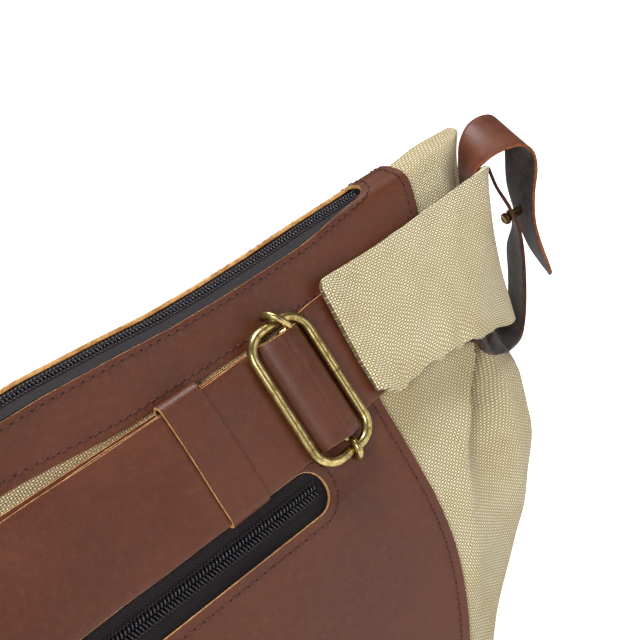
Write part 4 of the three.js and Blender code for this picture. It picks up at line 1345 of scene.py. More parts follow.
@dataclass
class Zip:
    """A coil zip: two tapes, two rows of teeth, their stitching, and a slider with its pull."""

    wardrobe: Wardrobe
    bench: Bench
    size: ZipSize
    follow: bool = False
    pitch: float = 1.22
    slant: float = math.radians(72)
    steps: tuple[int, int] = (241, 25)

    def build(self) -> None:
        """Makes every part of the zip."""
        for part in [self.tapes(), *self.teeth(), self.slider()]:
            if self.follow:
                move_mesh(part, lambda p: p + np.outer(ridge_sway(p[:, 0], HEIGHT), [0, 0, 1]))

    def tapes(self) -> bpy.types.Object:
        """The ribbed tape, with the slight ditch between its halves."""
        s = self.size
        x = np.linspace(-s.half, s.half, self.steps[0])
        y = np.linspace(*s.tape, self.steps[1])
        gx, gy = np.meshgrid(x, y, indexing="ij")
        ditch = -0.25 * np.exp(-((gy / 0.7) ** 2)) + 0.08 * np.sin(gx * 0.12 + gy * 0.3)
        flat = np.stack([gx, gy, s.tape_low + 0.45 + ditch], -1)
        rows = self.bench.place(flat.reshape(-1, 3)).reshape(flat.shape)
        tape = grid_piece(s.name + "_tape", rows)
        thicken(tape, 0.7, 0.15)
        smooth(tape)
        paint(tape, self.wardrobe.tape)
        settle(tape, Slot.TAPE, s.node + "_tape")
        return tape

    def teeth(self) -> list[bpy.types.Object]:
        """Two staggered rows of slanted loops, and the chain stitch that holds each row."""
        s = self.size
        count = int(2 * s.coil_half / self.pitch)
        loops, knots = [], []
        for side in (1, -1):
            for k in range(count):
                x = -s.coil_half + (k + (0.75 if side > 0 else 0.25)) * self.pitch
                loops.append(self.spot(x, side * 1.02, s.coil_low + 0.1, side * self.slant))
                knots.append(self.spot(x + self.pitch / 2, side * 2.25, s.coil_low - 0.15, side * 0.5))
        shape = lozenge(2.6, 0.70, 1.05, 7, 8, 0.45)
        coil = repeat_shape(s.name + "_coil", shape, np.array(loops))
        knot = repeat_shape(s.name + "_knots", lozenge(1.35, 0.6, 0.5, 5, 6, 0.1), np.array(knots))
        for obj, material, nodes in ((coil, self.wardrobe.coil, [s.node + "_coil"]),
                                     (knot, self.wardrobe.tape_thread, [])):
            smooth(obj, 60)
            paint(obj, material)
            settle(obj, Slot.COIL, *nodes)
        return [coil, knot]

    def spot(self, x: float, y: float, z: float, turn: float) -> np.ndarray:
        """A placing in the zip's frame, turned in its plane."""
        made = np.eye(4)
        made[:2, :2] = [[math.cos(turn), -math.sin(turn)], [math.sin(turn), math.cos(turn)]]
        made[:3, 3] = (x, y, z)
        return self.bench.matrix @ made

    def slider(self) -> bpy.types.Object:
        """The slider's two plates, its bridge and its flat pull with a hole."""
        s = self.size
        high = s.coil_low + 1.8
        body = flat_plate("body", [rounded(-5, -4.2, 5, 4.2, 2.4, 6, (4, 4))], 2.6, 0.5)
        move_mesh(body, lambda p: p + [s.slider_x, 0, high + 1.3])
        pull = flat_plate("pull", [rounded(-s.pull, -2.6, -2.4, 2.6, 1.8, 6, (6, 3)),
                                   rounded(-s.pull + 1.6, -1.2, -s.pull + 5.4, 1.2, 1.1, 6, (3, 1))],
                          1.1, 0.3)
        move_mesh(pull, lambda p: p + [s.slider_x, 0, high + 2.95])
        arch = np.array([[-3.6, 0, 2.4], [-3.2, 0, 3.4], [-2.0, 0, 4.2], [0, 0, 4.3], [1.6, 0, 3.7],
                         [2.6, 0, 2.4]])
        bridge = wire_piece("bridge", spline(arch + [s.slider_x - 0.4, 0, high - 0.3],
                                             np.linspace(0, 1, 18)), 0.75, False)
        activate(body)
        for part in (pull, bridge):
            part.select_set(True)
        bpy.ops.object.join()
        slider = bpy.context.object
        slider.name = s.name + "_slider"
        move_mesh(slider, self.bench.place)
        smooth(slider)
        paint(slider, self.wardrobe.zip_metal)
        settle(slider, Slot.ZIP_METAL, s.node + "_slider")
        return slider


# The leather strap, its keeper and its hardware

STRAP_WIDTH = 36.8
WIRE_R = 1.6
BAR_R = 1.1
BAR_S = 0.8
SLIDER_SHORT = 22.2
SLIDER_LONG = 44.8
SLIDER_CORNER = 7.0
SLIDER_DROP = 0.5
# Half the gap where the slider's wire meets itself, and how much fuller than its solid the wire looks
WIRE_JOINT = 0.09
WIRE_FULLER = 1.05
# Hook at each end of the slider's bar, by side: how far it starts in, how far it swings, and its size
HOOKS = {1: (3.5, 4.4, 1.3), -1: (0.9, 0.8, 1.0)}
HOOK_TURNS = (168, 140, 110, 80, 50, 20, -12, -40)
KEEPER_X = -36.9
KEEPER_WIDTH = 13.8
KEEPER_LEATHER = 1.1
# Room beside the strap at the keeper's upper turn, and radius of its turns
KEEPER_SPARE = 1.3
KEEPER_TURN = 2.3
RING_RIGHT = -126.0
RING_LEFT = -146.0
RING_LONG = 48.0
BELT_CANVAS = 2.2
KEEPER_LOW = PANEL_OUT + GAP
INNER_N = PANEL_OUT + GAP + LEATHER / 2
OUTER_N = INNER_N + LEATHER + GAP
KEEPER_LIFT = KEEPER_LEATHER + GAP
LEFT_BAR_N = OUTER_N + LEATHER / 2 + GAP + WIRE_R
RIGHT_BAR_N = INNER_N + LEATHER / 2 + 2 * GAP + WIRE_R
MID_BAR_N = (LEFT_BAR_N + RIGHT_BAR_N) / 2
WRAP_R = BAR_R + GAP + LEATHER / 2
RING_N = PANEL_OUT + GAP + LEATHER + 2 * GAP + WIRE_R


def arc(centre_s: float, centre_n: float, radius: float, start: float, stop: float,
        steps: int) -> list[tuple[float, float]]:
    """Places round an arc, as distance along the strap and height over the front plane.

    Args:
        centre_s: its centre's distance along the strap.
        centre_n: its centre's height.
        radius: of the arc.
        start: first turn, in degrees.
        stop: last turn, in degrees.
        steps: parts of the arc.

    Returns:
        One more place than steps.
    """
    turns = np.radians(np.linspace(start, stop, steps + 1))
    return [(centre_s + radius * math.cos(a), centre_n + radius * math.sin(a)) for a in turns]


@dataclass
class StrapRig:
    """Everything laid out along the front strap, s along it, v up and n out."""

    wardrobe: Wardrobe
    bench: Bench
    swing: float = 0.07
    lift: float = 1.7
    free_rows: int = 7
    wrap_rows: int = 10
    narrower: float = 6
    across: int = 17
    keeper_across: int = 15

    def build(self) -> None:
        """Makes the strap, its keeper, the slider buckle and the ring."""
        self.strap()
        self.keeper()
        self.hardware()

    def route(self) -> np.ndarray:
        """The strap's way: s, n, half width and rise of each place."""
        half, near = SLIDER_SHORT / 2, KEEPER_WIDTH / 2 + 2
        over, ring = WRAP_R + LEATHER + GAP, WIRE_R + 2 * GAP + LEATHER / 2
        places = [(30.5, INNER_N), (22, INNER_N), (half + 2.5, INNER_N), (half - 0.1, INNER_N + 0.02),
                  (9.4, INNER_N + 0.65),
                  (8.0, INNER_N + 2.2), (6.2, INNER_N + 4.4)]
        places += arc(BAR_S, MID_BAR_N, over, 46, 120, 6)
        places += [(-5.4, MID_BAR_N + 1.3), (-8.2, OUTER_N + 0.4), (-half, OUTER_N), (-half - 4, OUTER_N),
                   (KEEPER_X + near, OUTER_N + KEEPER_LIFT), (KEEPER_X - near, OUTER_N + KEEPER_LIFT),
                   (KEEPER_X - 3 * near, OUTER_N), (-100, OUTER_N), (RING_RIGHT + 12, OUTER_N + 0.6)]
        places += arc(RING_RIGHT, RING_N, ring, 90, 270, 8)
        places += [(RING_RIGHT + 12, INNER_N), (-100, INNER_N), (KEEPER_X - 3 * near, INNER_N),
                   (KEEPER_X - near, INNER_N + KEEPER_LIFT), (KEEPER_X + near, INNER_N + KEEPER_LIFT),
                   (-half - 4, INNER_N), (-8, INNER_N), (-4.4, INNER_N + 0.2)]
        places += arc(BAR_S, MID_BAR_N, WRAP_R, 262, 466, 9)
        rows = []
        for i, (s, n) in enumerate(places):
            wide = STRAP_WIDTH - (self.narrower if i >= len(places) - self.wrap_rows else 0)
            rise = self.lift * float(smoothstep(s, 5, 14)) + self.swing * max(s - 9, 0)
            rows.append((s, n, wide / 2, rise if i < self.free_rows else 0.0))
        return np.array(rows)

    def strap(self) -> None:
        """The leather strap as one sheet from its sewn end, round the ring and back to its wrapped end."""
        route = spline(self.route(), np.linspace(0, 1, 2400))
        route = resample(route, 520)
        v = np.linspace(1, -1, self.across)
        along = lengths(route[:, :2])[:, None]
        wander = 0.22 * np.sin(along * 0.055 + 0.4) + 0.12 * np.sin(along * 0.17)
        gs = np.repeat(route[:, :1], self.across, 1)
        gv = route[:, 2:3] * v + route[:, 3:4] + wander * np.abs(v)
        gn = np.repeat(route[:, 1:2], self.across, 1)
        flat = np.stack([gs, gv, gn], -1)
        rows = self.bench.place(flat.reshape(-1, 3)).reshape(flat.shape)
        strap = grid_piece("leather_strap_sheet", rows)
        paint(strap, self.wardrobe.leather, self.wardrobe.raw_edge)
        thicken(strap, LEATHER, 0.3)
        smooth(strap)
        settle(strap, Slot.LEATHER, "leather_strap")

    def keeper(self) -> None:
        """The leather band round both layers of the strap."""
        top = OUTER_N + KEEPER_LIFT + LEATHER / 2 + GAP + KEEPER_LEATHER / 2
        side = STRAP_WIDTH / 2 + GAP + KEEPER_LEATHER / 2
        loop = rounded(-side, KEEPER_LOW + KEEPER_LEATHER / 2, side + KEEPER_SPARE, top, KEEPER_TURN, 12,
                       (40, 2))
        count = self.keeper_across
        s = KEEPER_X + np.linspace(-0.5, 0.5, count) * KEEPER_WIDTH
        sag = 0.14 * np.sin(loop[:, 0] * 0.16 + 0.6)
        flat = np.stack([np.broadcast_to(s, (len(loop), count)) + sag[:, None],
                         np.repeat(loop[:, :1], count, 1), np.repeat(loop[:, 1:], count, 1)], -1)
        rows = self.bench.place(flat.reshape(-1, 3)).reshape(flat.shape)
        keeper = grid_piece("keeper_band", rows[:, ::-1], weld_seam=True)
        paint(keeper, self.wardrobe.leather, self.wardrobe.raw_edge)
        thicken(keeper, KEEPER_LEATHER, 0.25)
        smooth(keeper)
        settle(keeper, Slot.LEATHER, "strap_keeper")

    def frame_path(self, short: float, long: float, corner: float, lean: float, s: float,
                   n: float) -> np.ndarray:
        """A rounded rectangle of wire, its long side across the strap.

        Args:
            short: size along the strap.
            long: size across it.
            corner: radius of its corners.
            lean: turn about the long side.
            s: place of its middle along the strap.
            n: height of its middle over the front plane.

        Returns:
            Its points, as s, v and n.
        """
        line = rounded(-short / 2, -long / 2, short / 2, long / 2, corner, 12, (16, 40))
        return np.stack([s + line[:, 0] * math.cos(lean), line[:, 1] - SLIDER_DROP,
                         n - line[:, 0] * math.sin(lean)], 1)

    def hardware(self) -> None:
        """The slider's bent wire with its joint, its hooked bar, and the ring."""
        lean = math.atan2(LEFT_BAR_N - RIGHT_BAR_N, SLIDER_SHORT)
        path = self.frame_path(SLIDER_SHORT, SLIDER_LONG, SLIDER_CORNER, lean, 0, MID_BAR_N)[:-1]
        joint = int(np.argmin(np.abs(path[:, 1] + SLIDER_DROP) + np.where(path[:, 0] > 0, 0, 99)))
        wire = np.vstack([path[joint:], path[: joint + 1]])
        wire[0, 1] += WIRE_JOINT
        wire[-1, 1] -= WIRE_JOINT
        ring = self.frame_path(RING_RIGHT - RING_LEFT, RING_LONG, 4.5, 0, (RING_RIGHT + RING_LEFT) / 2,
                               RING_N)[:-1]
        pieces = [("slider_wire", wire, WIRE_R, False, "slider_frame"),
                  ("slider_cross_bar", self.bar_path(), BAR_R, False, "slider_bar"),
                  ("belt_ring", ring, WIRE_R, True, "strap_ring")]
        for name, line, radius, closed, node in pieces:
            obj = wire_piece(name, self.bench.place(line), radius * WIRE_FULLER, closed)
            paint(obj, self.wardrobe.brass)
            settle(obj, Slot.BRASS, node)

    def bar_path(self) -> np.ndarray:
        """The cross bar: straight under the strap, each end bent over the frame's short side."""
        hook = WIRE_R + GAP + BAR_R
        middle = SLIDER_LONG / 2

        def bend(side: int) -> list[list[float]]:
            """The bent end on one side."""
            turns = np.radians(HOOK_TURNS)
            inner, swing, size = HOOKS[side]
            return [[BAR_S + inner - swing * (1 + math.cos(a)) / 2,
                     side * (middle + hook * size * math.cos(a)) - SLIDER_DROP,
                     MID_BAR_N + hook * size * math.sin(a)] for a in turns]

        straight = [(-middle + hook + 1.5, -0.1), (-8, 0), (8, 0), (middle - hook - 1.5, -0.1)]
        line = bend(-1)[::-1] + [[BAR_S, v, MID_BAR_N + n] for v, n in straight] + bend(1)
        return resample(spline(line, np.linspace(0, 1, 400)), 130)


# The canvas belt

# Upper and lower edge of the right half from its end on the strap to the middle of the back, as shares of
# HALF_LENGTH, BACK_Y and HEIGHT; dip = how far the belt's middle is drawn toward the bag
BELT_UPPER = (
    (0.4881, 0.3, 0.9267), (0.5476, 0.3053, 0.924), (0.625, 0.3053, 0.9227), (0.756, 0.3053, 0.928),
    (0.881, 0.2947, 0.9375), (0.9583, 0.2947, 0.9408), (0.9869, 0.3421, 0.9388), (1.0083, 0.4895, 0.9213),
    (1.0238, 0.6842, 0.9052), (1.0262, 0.8947, 0.8985), (0.994, 1.0789, 0.9052), (0.9167, 1.1211, 0.9146),
    (0.7024, 1.1053, 0.928), (0.3571, 1.0895, 0.9348), (0, 1.0895, 0.9348),
)
BELT_LOWER = (
    (0.4768, -0.0784, 0.6815, 0), (0.5238, -0.1263, 0.658, 0), (0.5655, -0.1158, 0.6644, 0),
    (0.6548, -0.1237, 0.6624, 0), (0.7262, -0.1368, 0.6523, 0), (0.7976, -0.0526, 0.6254, 0),
    (0.8774, 0.0895, 0.5958, 2.4), (0.9107, 0.2263, 0.5783, 4.8), (0.931, 0.4474, 0.5649, 3.4),
    (0.944, 0.7105, 0.5514, 1), (0.9464, 1.0158, 0.538, 0), (0.8869, 1.1158, 0.5313, 0),
    (0.6786, 1.1053, 0.5245, 0), (0.3393, 1.0895, 0.5178, 0), (0, 1.0895, 0.5178, 0),
)
BELT_NARROWS = 0.5476


def at_shares(table: Sequence[Sequence[float]]) -> np.ndarray:
    """Places given as shares of the bag's half length, back depth and height."""
    return np.array([row[:3] for row in table]) * [HALF_LENGTH, BACK_Y, HEIGHT]


def keep_off(obj: bpy.types.Object, wall: bpy.types.Object, distance: float) -> None:
    """Pushes a sheet's vertices out of a closed piece and off its face.

    Args:
        obj: the sheet.
        wall: the piece it lies on.
        distance: least distance from the wall's outer face, in millimetres.
    """
    for vertex in obj.data.vertices:
        found, near, normal, _ = wall.closest_point_on_mesh(vertex.co)
        if found:
            out = (vertex.co - near).dot(normal)
            if out < distance * MM and (vertex.co - near).length < (distance + 2.5) * MM:
                vertex.co = vertex.co + normal * (distance * MM - out)
    obj.data.update()


@dataclass
class CanvasBelt:
    """The canvas belt: one sheet from its hemmed end on the strap, round the back, to the ring."""

    wardrobe: Wardrobe
    bench: Bench
    shell: bpy.types.Object
    half_steps: int = 240
    across: int = 40
    corner: float = 3.6

    def half_rows(self) -> np.ndarray:
        """Rows of the right half, from its front end to the middle of the back."""
        shares = np.linspace(0, 1, 1200)
        upper = spline(at_shares(BELT_UPPER), shares)
        lower = spline(at_shares(BELT_LOWER), shares)
        dips = spline([(i, row[3]) for i, row in enumerate(BELT_LOWER)], shares)[:, 1]
        both = resample(np.hstack([upper, lower, dips[:, None] * 0.3]), self.half_steps)
        down = np.linspace(0, 1, self.across)[None, :, None]
        rows = both[:, None, :3] * (1 - down) + both[:, None, 3:6] * down
        rows[..., 0] -= both[:, 6:7] / 0.3 * np.sin(math.pi * down[..., 0] ** 0.6)
        return rows

    def left_end(self) -> np.ndarray:
        """Rows that turn round the ring's left bar."""
        turns = arc(RING_LEFT, RING_N, WIRE_R + 3 * GAP + BELT_CANVAS / 2, 100, -90, 16)
        turns.append((RING_LEFT - 8, BELT_CANVAS / 2 + 2 * GAP))
        half = STRAP_WIDTH / 2 - 1
        v = np.linspace(half, -half, self.across)
        flat = np.array([[(s, one, n) for one in v] for s, n in turns])
        return self.bench.place(flat.reshape(-1, 3)).reshape(flat.shape)

    def round_corners(self, rows: np.ndarray) -> np.ndarray:
        """Rounds the upper corner of the hemmed end.

        Args:
            rows: the belt's rows, from that end on.

        Returns:
            The rows with the corner drawn in.
        """
        made = rows.copy()
        way = rows[1, 0] - rows[0, 0]
        way /= np.linalg.norm(way)
        side = rows[0, -1] - rows[0, 0]
        wide = float(np.linalg.norm(side))
        side /= wide
        for k in range(8):
            ahead = float((rows[k, 0] - rows[0, 0]) @ way)
            for c in range(rows.shape[1]):
                down = c / (rows.shape[1] - 1) * wide
                a, b = self.corner - ahead, self.corner - down
                if a > 0 and b > 0:
                    pull = 1 - max(a, b) / math.hypot(a, b)
                    made[k, c] += way * a * pull + side * b * pull
        return made

    def ease(self, rows: np.ndarray) -> np.ndarray:
        """Adds the cloth's slow waves, stronger at its edges and at the hemmed end.

        Args:
            rows: the belt's rows, from the hemmed end on.

        Returns:
            The waved rows.
        """
        along = lengths(rows[:, 0])[:, None]
        down = np.linspace(0, 1, rows.shape[1])[None, :]
        side = np.gradient(rows, axis=1)
        way = np.gradient(rows, axis=0)
        out = np.cross(side, way)
        out /= np.linalg.norm(out, axis=-1, keepdims=True)
        wave = np.sin(along * 0.19) * 0.32 + np.sin(along * 0.43 + 1.1) * 0.2
        edge = np.abs(down - 0.5) ** 2 * 4
        swell = (0.35 + wave) * edge + 0.18 * np.sin(along * 0.31 + down * 7)
        drop = np.zeros_like(rows)
        ripple = 0.55 * np.sin(along * 0.42 + 0.7) + 0.3 * np.sin(along * 0.9)
        drop[..., 2] = ripple * smoothstep(down, 0.72, 1.0)
        rows = rows + out * np.maximum(swell, -0.1)[..., None]
        return rows + drop * smoothstep(-along, -110, -90)[..., None]

    def build(self) -> None:
        """Makes the belt."""
        half = self.half_rows()
        left = (half[:-1] * [-1, 1, 1])[::-1]
        left = left[left[:, 0, 0] < -BELT_NARROWS * HALF_LENGTH]
        ring = self.left_end()
        gap = (left[-1] + ring[0]) / 2
        rows = np.vstack([half, left, gap[None], ring])
        rows = self.ease(self.round_corners(rows))
        belt = grid_piece("belt_cloth", rows, lay_uv(rows)[..., ::-1])
        keep_off(belt, self.shell, BELT_CANVAS / 2 + GAP)
        thicken(belt, BELT_CANVAS, 1.0, 0, 0, 4)
        self.hem(belt)
        smooth(belt, 60)
        paint(belt, self.wardrobe.canvas)
        settle(belt, Slot.CANVAS, "canvas_belt")

    def hem(self, belt: bpy.types.Object) -> None:
        """Swells the folded hem at the belt's right front end."""
        edge = self.bench.home(np.array([at_shares(BELT_UPPER)[0], at_shares(BELT_LOWER)[0]]))

        def work(points: np.ndarray) -> np.ndarray:
            """Moves the hem's outer face out."""
            local = self.bench.home(points)
            line = np.interp(local[:, 1], edge[::-1, 1], edge[::-1, 0])
            past = local[:, 0] - line
            inside = (local[:, 2] > 0) & (local[:, 2] < 14) & (np.abs(local[:, 1]) < 32)
            inside &= (past > -3) & (past < 12)
            bulge = np.exp(-(((past - 3.2) / 2.6) ** 2)) * 0.85 - 0.35 * np.exp(-(((past - 7.4) / 0.9) ** 2))
            bulge *= 1 + 0.25 * np.sin(local[:, 1] * 0.7)
            lift = np.where(inside & (local[:, 2] > PANEL_OUT + BELT_CANVAS * 0.6), bulge, 0)
            local[:, 2] += lift
            return self.bench.place(local)

        move_mesh(belt, work)


# The side loops

# Each row: the edge nearer the front and the edge nearer the back, as shares like the belt's
LOOP_UPPER = (
    ((0.9298, 0.4474, 0.8877), (0.9613, 0.8579, 0.8433)), ((0.9524, 0.4, 0.9173), (0.994, 0.8421, 0.8682)),
    ((0.9661, 0.3816, 0.9388), (1.0089, 0.8421, 0.8958)),
    ((0.9994, 0.3816, 0.9455), (1.0238, 0.8421, 0.9361)),
    ((1.0262, 0.3763, 0.9482), (1.0417, 0.8421, 0.9751)),
    ((1.072, 0.3553, 0.9442), (1.0815, 0.8421, 1.004)), ((1.1048, 0.3289, 0.9334), (1.1429, 0.8158, 0.996)),
    ((1.1226, 0.3026, 0.9052), (1.1667, 0.7895, 0.9415)),
    ((1.1173, 0.2895, 0.8675), (1.1518, 0.7895, 0.885)),
    ((1.0905, 0.2895, 0.8157), (1.1345, 0.7895, 0.8204)),
    ((1.0708, 0.2895, 0.7566), (1.131, 0.7763, 0.7545)),
    ((1.0744, 0.3158, 0.7095), (1.1262, 0.7368, 0.7001)),
    ((1.0863, 0.3553, 0.6604), (1.125, 0.6842, 0.6443)),
    ((1.106, 0.4211, 0.6113), (1.1304, 0.6184, 0.5958)),
    ((1.1232, 0.4868, 0.5703), (1.1321, 0.5395, 0.5582)),
)
LOOP_LOWER = (
    ((0.7083, -0.0237, 0.649), (0.756, 0.1368, 0.7599)),
    ((0.7435, -0.0737, 0.6295), (0.8006, 0.1263, 0.7223)),
    ((0.7482, -0.0895, 0.6079), (0.8196, 0.2, 0.6886)),
    ((0.7958, -0.0132, 0.5595), (0.8673, 0.3947, 0.6046)),
    ((0.828, 0.0526, 0.5387), (0.8935, 0.4868, 0.5609)),
    ((0.8583, 0.1053, 0.5279), (0.9202, 0.5658, 0.5313)),
    ((0.9232, 0.2237, 0.5178), (0.9768, 0.6974, 0.5017)), ((0.9548, 0.2763, 0.538), (1.0113, 0.75, 0.5178)),
    ((0.9804, 0.3158, 0.5689), (1.0446, 0.7895, 0.5508)),
    ((1.0006, 0.3158, 0.6274), (1.0637, 0.7895, 0.6046)),
    ((1.019, 0.3158, 0.6994), (1.0827, 0.7895, 0.6691)), ((1.031, 0.3421, 0.7566), (1.095, 0.69, 0.725)),
    ((1.0369, 0.4105, 0.7976), (1.0919, 0.6592, 0.7666)),
    ((1.0369, 0.5132, 0.8608), (1.0605, 0.6198, 0.8475)),
    ((1.0327, 0.5263, 0.9132), (1.0406, 0.5618, 0.9088)),
)
LOOP_LEATHER = 1.7
# Drawn thickness as a share of the solid's, since its cut edges look thinner in the photo
LOOP_THIN = 0.72
LOOP_ROWS = 110
STUD_AT = np.array([1.0643, 0.5895, 0.7613]) * [HALF_LENGTH, BACK_Y, HEIGHT]
STUD_END = np.array([1.1048, 0.5579, 0.7653]) * [HALF_LENGTH, BACK_Y, HEIGHT]
STUD_R = 1.7
HEAD_R = 3.2
# The foot under the lower strap, and the leather washers: name and height on the stud
FOOT_R = 1.3
FOOT_LOW = -2.0
WASHERS = (("low", -1.9), ("high", 0.65))
WASHER_R = HEAD_R - 0.9
WASHER_HOLE = 1.5
WASHER_TALL = 1.3
WASHER_RIM = 0.2


@dataclass
class SideLoop:
    """One end's loop: a strap from above and one from below, joined by a stud."""

    wardrobe: Wardrobe
    side: Side
    shell: bpy.types.Object

    @property
    def word(self) -> str:
        """The side as part of a name."""
        return self.side.name.lower()

    def mirror(self, rows: np.ndarray) -> np.ndarray:
        """Rows of the right side moved to this one, facing the same way."""
        if self.side is Side.RIGHT:
            return rows
        return (rows * [-1, 1, 1])[:, ::-1]

    def strap(self, name: str, table: Sequence, turned: bool) -> None:
        """One tapering leather strap.

        Args:
            name: upper or lower.
            table: its edges.
            turned: swaps its faces, so that the leather's grain is outside.
        """
        shares = np.linspace(0, 1, 600)
        front = spline(at_shares([row[0] for row in table]), shares)
        back = spline(at_shares([row[1] for row in table]), shares)
        both = resample(np.hstack([front, back]), LOOP_ROWS)
        across = np.linspace(0, 1, 12)[None, :, None]
        rows = both[:, None, :3] * (1 - across) + both[:, None, 3:] * across
        rows = self.mirror(rows)
        if turned:
            rows = rows[:, ::-1]
        strap = grid_piece(f"loop_{name}_{self.word}_strap", rows)
        keep_off(strap, self.shell, LOOP_LEATHER / 2 + GAP)
        # The lower strap's edges take the darker copy of the loop edge: painted shade.
        edge = self.wardrobe.loop_edge if name == "upper" else self.wardrobe.painted_shade_loop_edge
        paint(strap, self.wardrobe.loop_leather, self.wardrobe.flesh, edge)
        thicken(strap, LOOP_LEATHER * LOOP_THIN, 0.3, 1, 2)
        smooth(strap)
        settle(strap, Slot.LOOP, f"loop_{name}_{self.word}")

    def lathe(self, name: str, profile: Sequence[tuple[float, float]], sides: int = 32) -> bpy.types.Object:
        """A turned part on the stud's axis.

        Args:
            name: of the part.
            profile: its radii and heights.
            sides: points in a ring.

        Returns:
            The part, without a material.
        """
        axis = (STUD_END - STUD_AT) / np.linalg.norm(STUD_END - STUD_AT)
        level = np.cross(axis, [0, 0, 1.0])
        level /= np.linalg.norm(level)
        up = np.cross(level, axis)
        turns = np.linspace(0, 2 * math.pi, sides + 1)
        ring = np.cos(turns)[:, None] * level + np.sin(turns)[:, None] * up
        rows = np.array([STUD_AT + axis * y + ring * r for r, y in profile])
        part = grid_piece(name, self.mirror(rows), weld_seam=True)
        weld(part, True)
        smooth(part, 50)
        return part

    def washer(self, name: str, low: float) -> None:
        """A leather washer on the stud, from a height up."""
        wide, high = WASHER_R, low + WASHER_TALL
        rim = [(WASHER_HOLE, low), (wide - WASHER_RIM, low), (wide, low + WASHER_RIM),
               (wide, high - WASHER_RIM), (wide - WASHER_RIM, high), (WASHER_HOLE, high), (WASHER_HOLE, low)]
        washer = self.lathe(f"stud_washer_{name}_{self.word}", rim)
        paint(washer, self.wardrobe.loop_leather)
        settle(washer, Slot.LOOP)

    def stud(self) -> None:
        """The post with its foot and its rounded head, and the leather washers beside both straps."""
        long = float(np.linalg.norm(STUD_END - STUD_AT))
        foot, head = -LOOP_LEATHER / 2 - 5 * GAP, long + LOOP_LEATHER / 2 + 5 * GAP
        dome = [(HEAD_R * 0.9 * math.cos(a), head + 0.9 + 1.8 * math.sin(a))
                for a in np.linspace(0, math.pi / 2, 9)]
        profile = [(0, foot - 1.6), (HEAD_R * 0.8, foot - 1.6), (HEAD_R * 0.95, foot - 1.4),
                   (HEAD_R, foot - 1.0), (HEAD_R, foot - 0.3), (HEAD_R * 0.92, foot), (STUD_R, foot),
                   (STUD_R, head), (HEAD_R * 0.84, head), (HEAD_R * 0.9, head + 0.2)]
        for name, low in WASHERS:
            self.washer(name, low)
        profile = [(min(r, FOOT_R), max(y, FOOT_LOW)) for r, y in profile[:6]] + profile[6:]
        post = self.lathe(f"stud_post_{self.word}", profile + dome[:-1] + [(0.0, dome[-1][1])])
        paint(post, self.wardrobe.brass)
        settle(post, Slot.BRASS, f"loop_stud_{self.word}")

    def build(self) -> None:
        """Makes both straps and the stud."""
        self.strap("upper", LOOP_UPPER, self.side is Side.RIGHT)
        self.strap("lower", LOOP_LOWER, self.side is Side.LEFT)
        self.stud()


# The studio


# What the floor and the world give other rays than the camera's, which see them white
FLOOR_GLOW = 0.30
WORLD_GLOW = 0.17
# Name, place, size in metres and power in watts
LAMPS = (
    ("key", (0.20, 0.05, 1.1), 0.40, 10.5),
    ("front", (-0.95, -0.80, 0.70), 0.40, 10.5),
    ("side", (0.55, -1.0, 0.25), 0.70, 2.2),
)
LAMP_TARGET = Vector((0, 0, 0.08))


@dataclass(frozen=True)
class CameraPose:
    """The photo's camera, as its axes in the row frame."""

    right: tuple[float, ...] = (0.7262, 0.4831, -0.4891)
    up: tuple[float, ...] = (-0.6064, 0.1155, -0.7864)
    out: tuple[float, ...] = (-0.3233, 0.8678, 0.3768)
    place: tuple[float, ...] = (-0.082, -0.247, 0.250)
    lens: float = 59.06


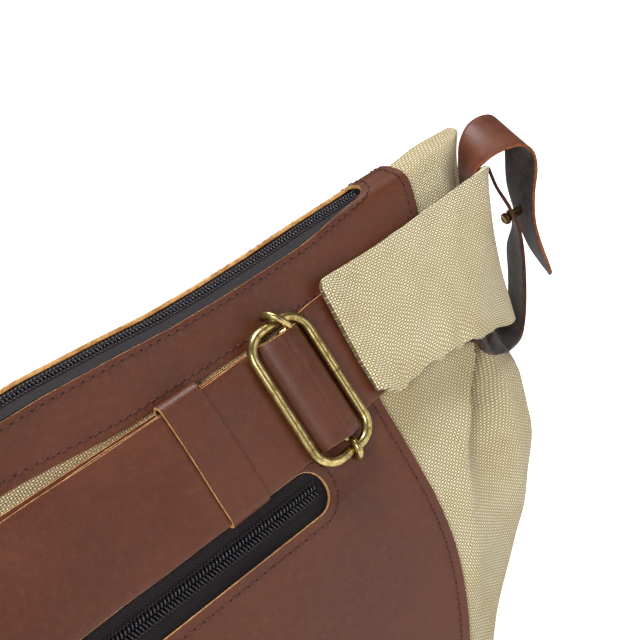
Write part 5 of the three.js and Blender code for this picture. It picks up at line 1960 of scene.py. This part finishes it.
class Studio:
    """The camera, the pale floor and the soft lights."""

    def __init__(self) -> None:
        """Sets everything up."""
        self.camera(CameraPose())
        self.floor()
        self.lights()

    def camera(self, pose: CameraPose) -> None:
        """Adds the camera."""
        matrix = Matrix([[*pose.right, pose.place[0]], [*pose.up, pose.place[1]], [*pose.out, pose.place[2]],
                         [0, 0, 0, 1]])
        bpy.ops.object.camera_add()
        camera = bpy.context.object
        camera.matrix_world = matrix
        camera.data.lens = pose.lens
        camera.data.clip_start = 0.01
        bpy.context.scene.camera = camera

    def floor(self) -> None:
        """Adds a pale floor that stays near white."""
        bpy.ops.mesh.primitive_plane_add(size=60)
        floor = bpy.context.object
        floor.name = "floor"
        material = bpy.data.materials.new("floor")
        material.use_nodes = True
        shader = material.node_tree.nodes["Principled BSDF"]
        shader.inputs["Base Color"].default_value = (0.9, 0.9, 0.9, 1)
        shader.inputs["Roughness"].default_value = 0.9
        shader.inputs["Specular IOR Level"].default_value = 0.0
        shader.inputs["Emission Color"].default_value = (1, 1, 1, 1)
        path = material.node_tree.nodes.new("ShaderNodeLightPath")
        seen = material.node_tree.nodes.new("ShaderNodeMapRange")
        seen.inputs["To Min"].default_value = FLOOR_GLOW
        material.node_tree.links.new(path.outputs["Is Camera Ray"], seen.inputs["Value"])
        material.node_tree.links.new(seen.outputs["Result"], shader.inputs["Emission Strength"])
        paint(floor, material)

    def lights(self) -> None:
        """Adds the world's light and the soft lamps."""
        world = bpy.data.worlds.new("studio")
        bpy.context.scene.world = world
        world.use_nodes = True
        tree = world.node_tree
        tree.nodes["Background"].inputs[0].default_value = (1, 1, 1, 1)
        path = tree.nodes.new("ShaderNodeLightPath")
        seen = tree.nodes.new("ShaderNodeMapRange")
        seen.inputs["To Min"].default_value = WORLD_GLOW
        seen.inputs["To Max"].default_value = 1.0
        tree.links.new(path.outputs["Is Camera Ray"], seen.inputs["Value"])
        tree.links.new(seen.outputs["Result"], tree.nodes["Background"].inputs[1])
        for lamp in LAMPS:
            self.lamp(*lamp)

    def lamp(self, name: str, place: tuple[float, ...], size: float, power: float) -> None:
        """Adds one square lamp turned to the bag.

        Args:
            name: of the lamp.
            place: of its middle, in metres.
            size: of its side, in metres.
            power: in watts.
        """
        bpy.ops.object.light_add(type="AREA")
        lamp = bpy.context.object
        lamp.name = name
        lamp.data.shape = "SQUARE"
        lamp.data.size = size
        lamp.data.energy = power
        turn = (Vector(place) - LAMP_TARGET).to_track_quat("Z", "Y")
        lamp.matrix_world = Matrix.Translation(place) @ turn.to_matrix().to_4x4()


def main() -> None:
    """Builds the bag in its studio."""
    logging.basicConfig(level=logging.INFO, format="%(message)s")
    Studio()
    scene = bpy.context.scene
    scene.view_settings.view_transform = "Standard"
    wardrobe = Wardrobe()
    CanvasBody(wardrobe).build()
    shell = bpy.data.objects["canvas_shell"]
    RidgeBand(wardrobe).build()
    FrontPanel(wardrobe).build()
    top = ZipSize("ridge_zip", "top_zip", ZIP_HALF + 1.1, (-8.4, 4.3), -0.9, ZIP_HALF - 2, 0.3, -102, 17)
    Zip(wardrobe, Bench.tilted(ZIP_Y, HEIGHT - 1.7, 0.11), top, True).build()
    front = ZipSize("pocket_zip", "front_zip", FRONT_ZIP_HALF + 1.5, (-7.1, 7.1), -1.4, FRONT_ZIP_HALF - 2,
                    -0.2, -41, 22)
    Zip(wardrobe, Bench.on_front_plane(0, FRONT_ZIP_Z), front).build()
    rig = Bench.on_front_plane(60.4, HEIGHT - 36.7, 0.014)
    StrapRig(wardrobe, rig).build()
    CanvasBelt(wardrobe, rig, shell).build()
    for side in Side:
        SideLoop(wardrobe, side, shell).build()
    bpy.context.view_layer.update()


if __name__ == "__main__":
    main()
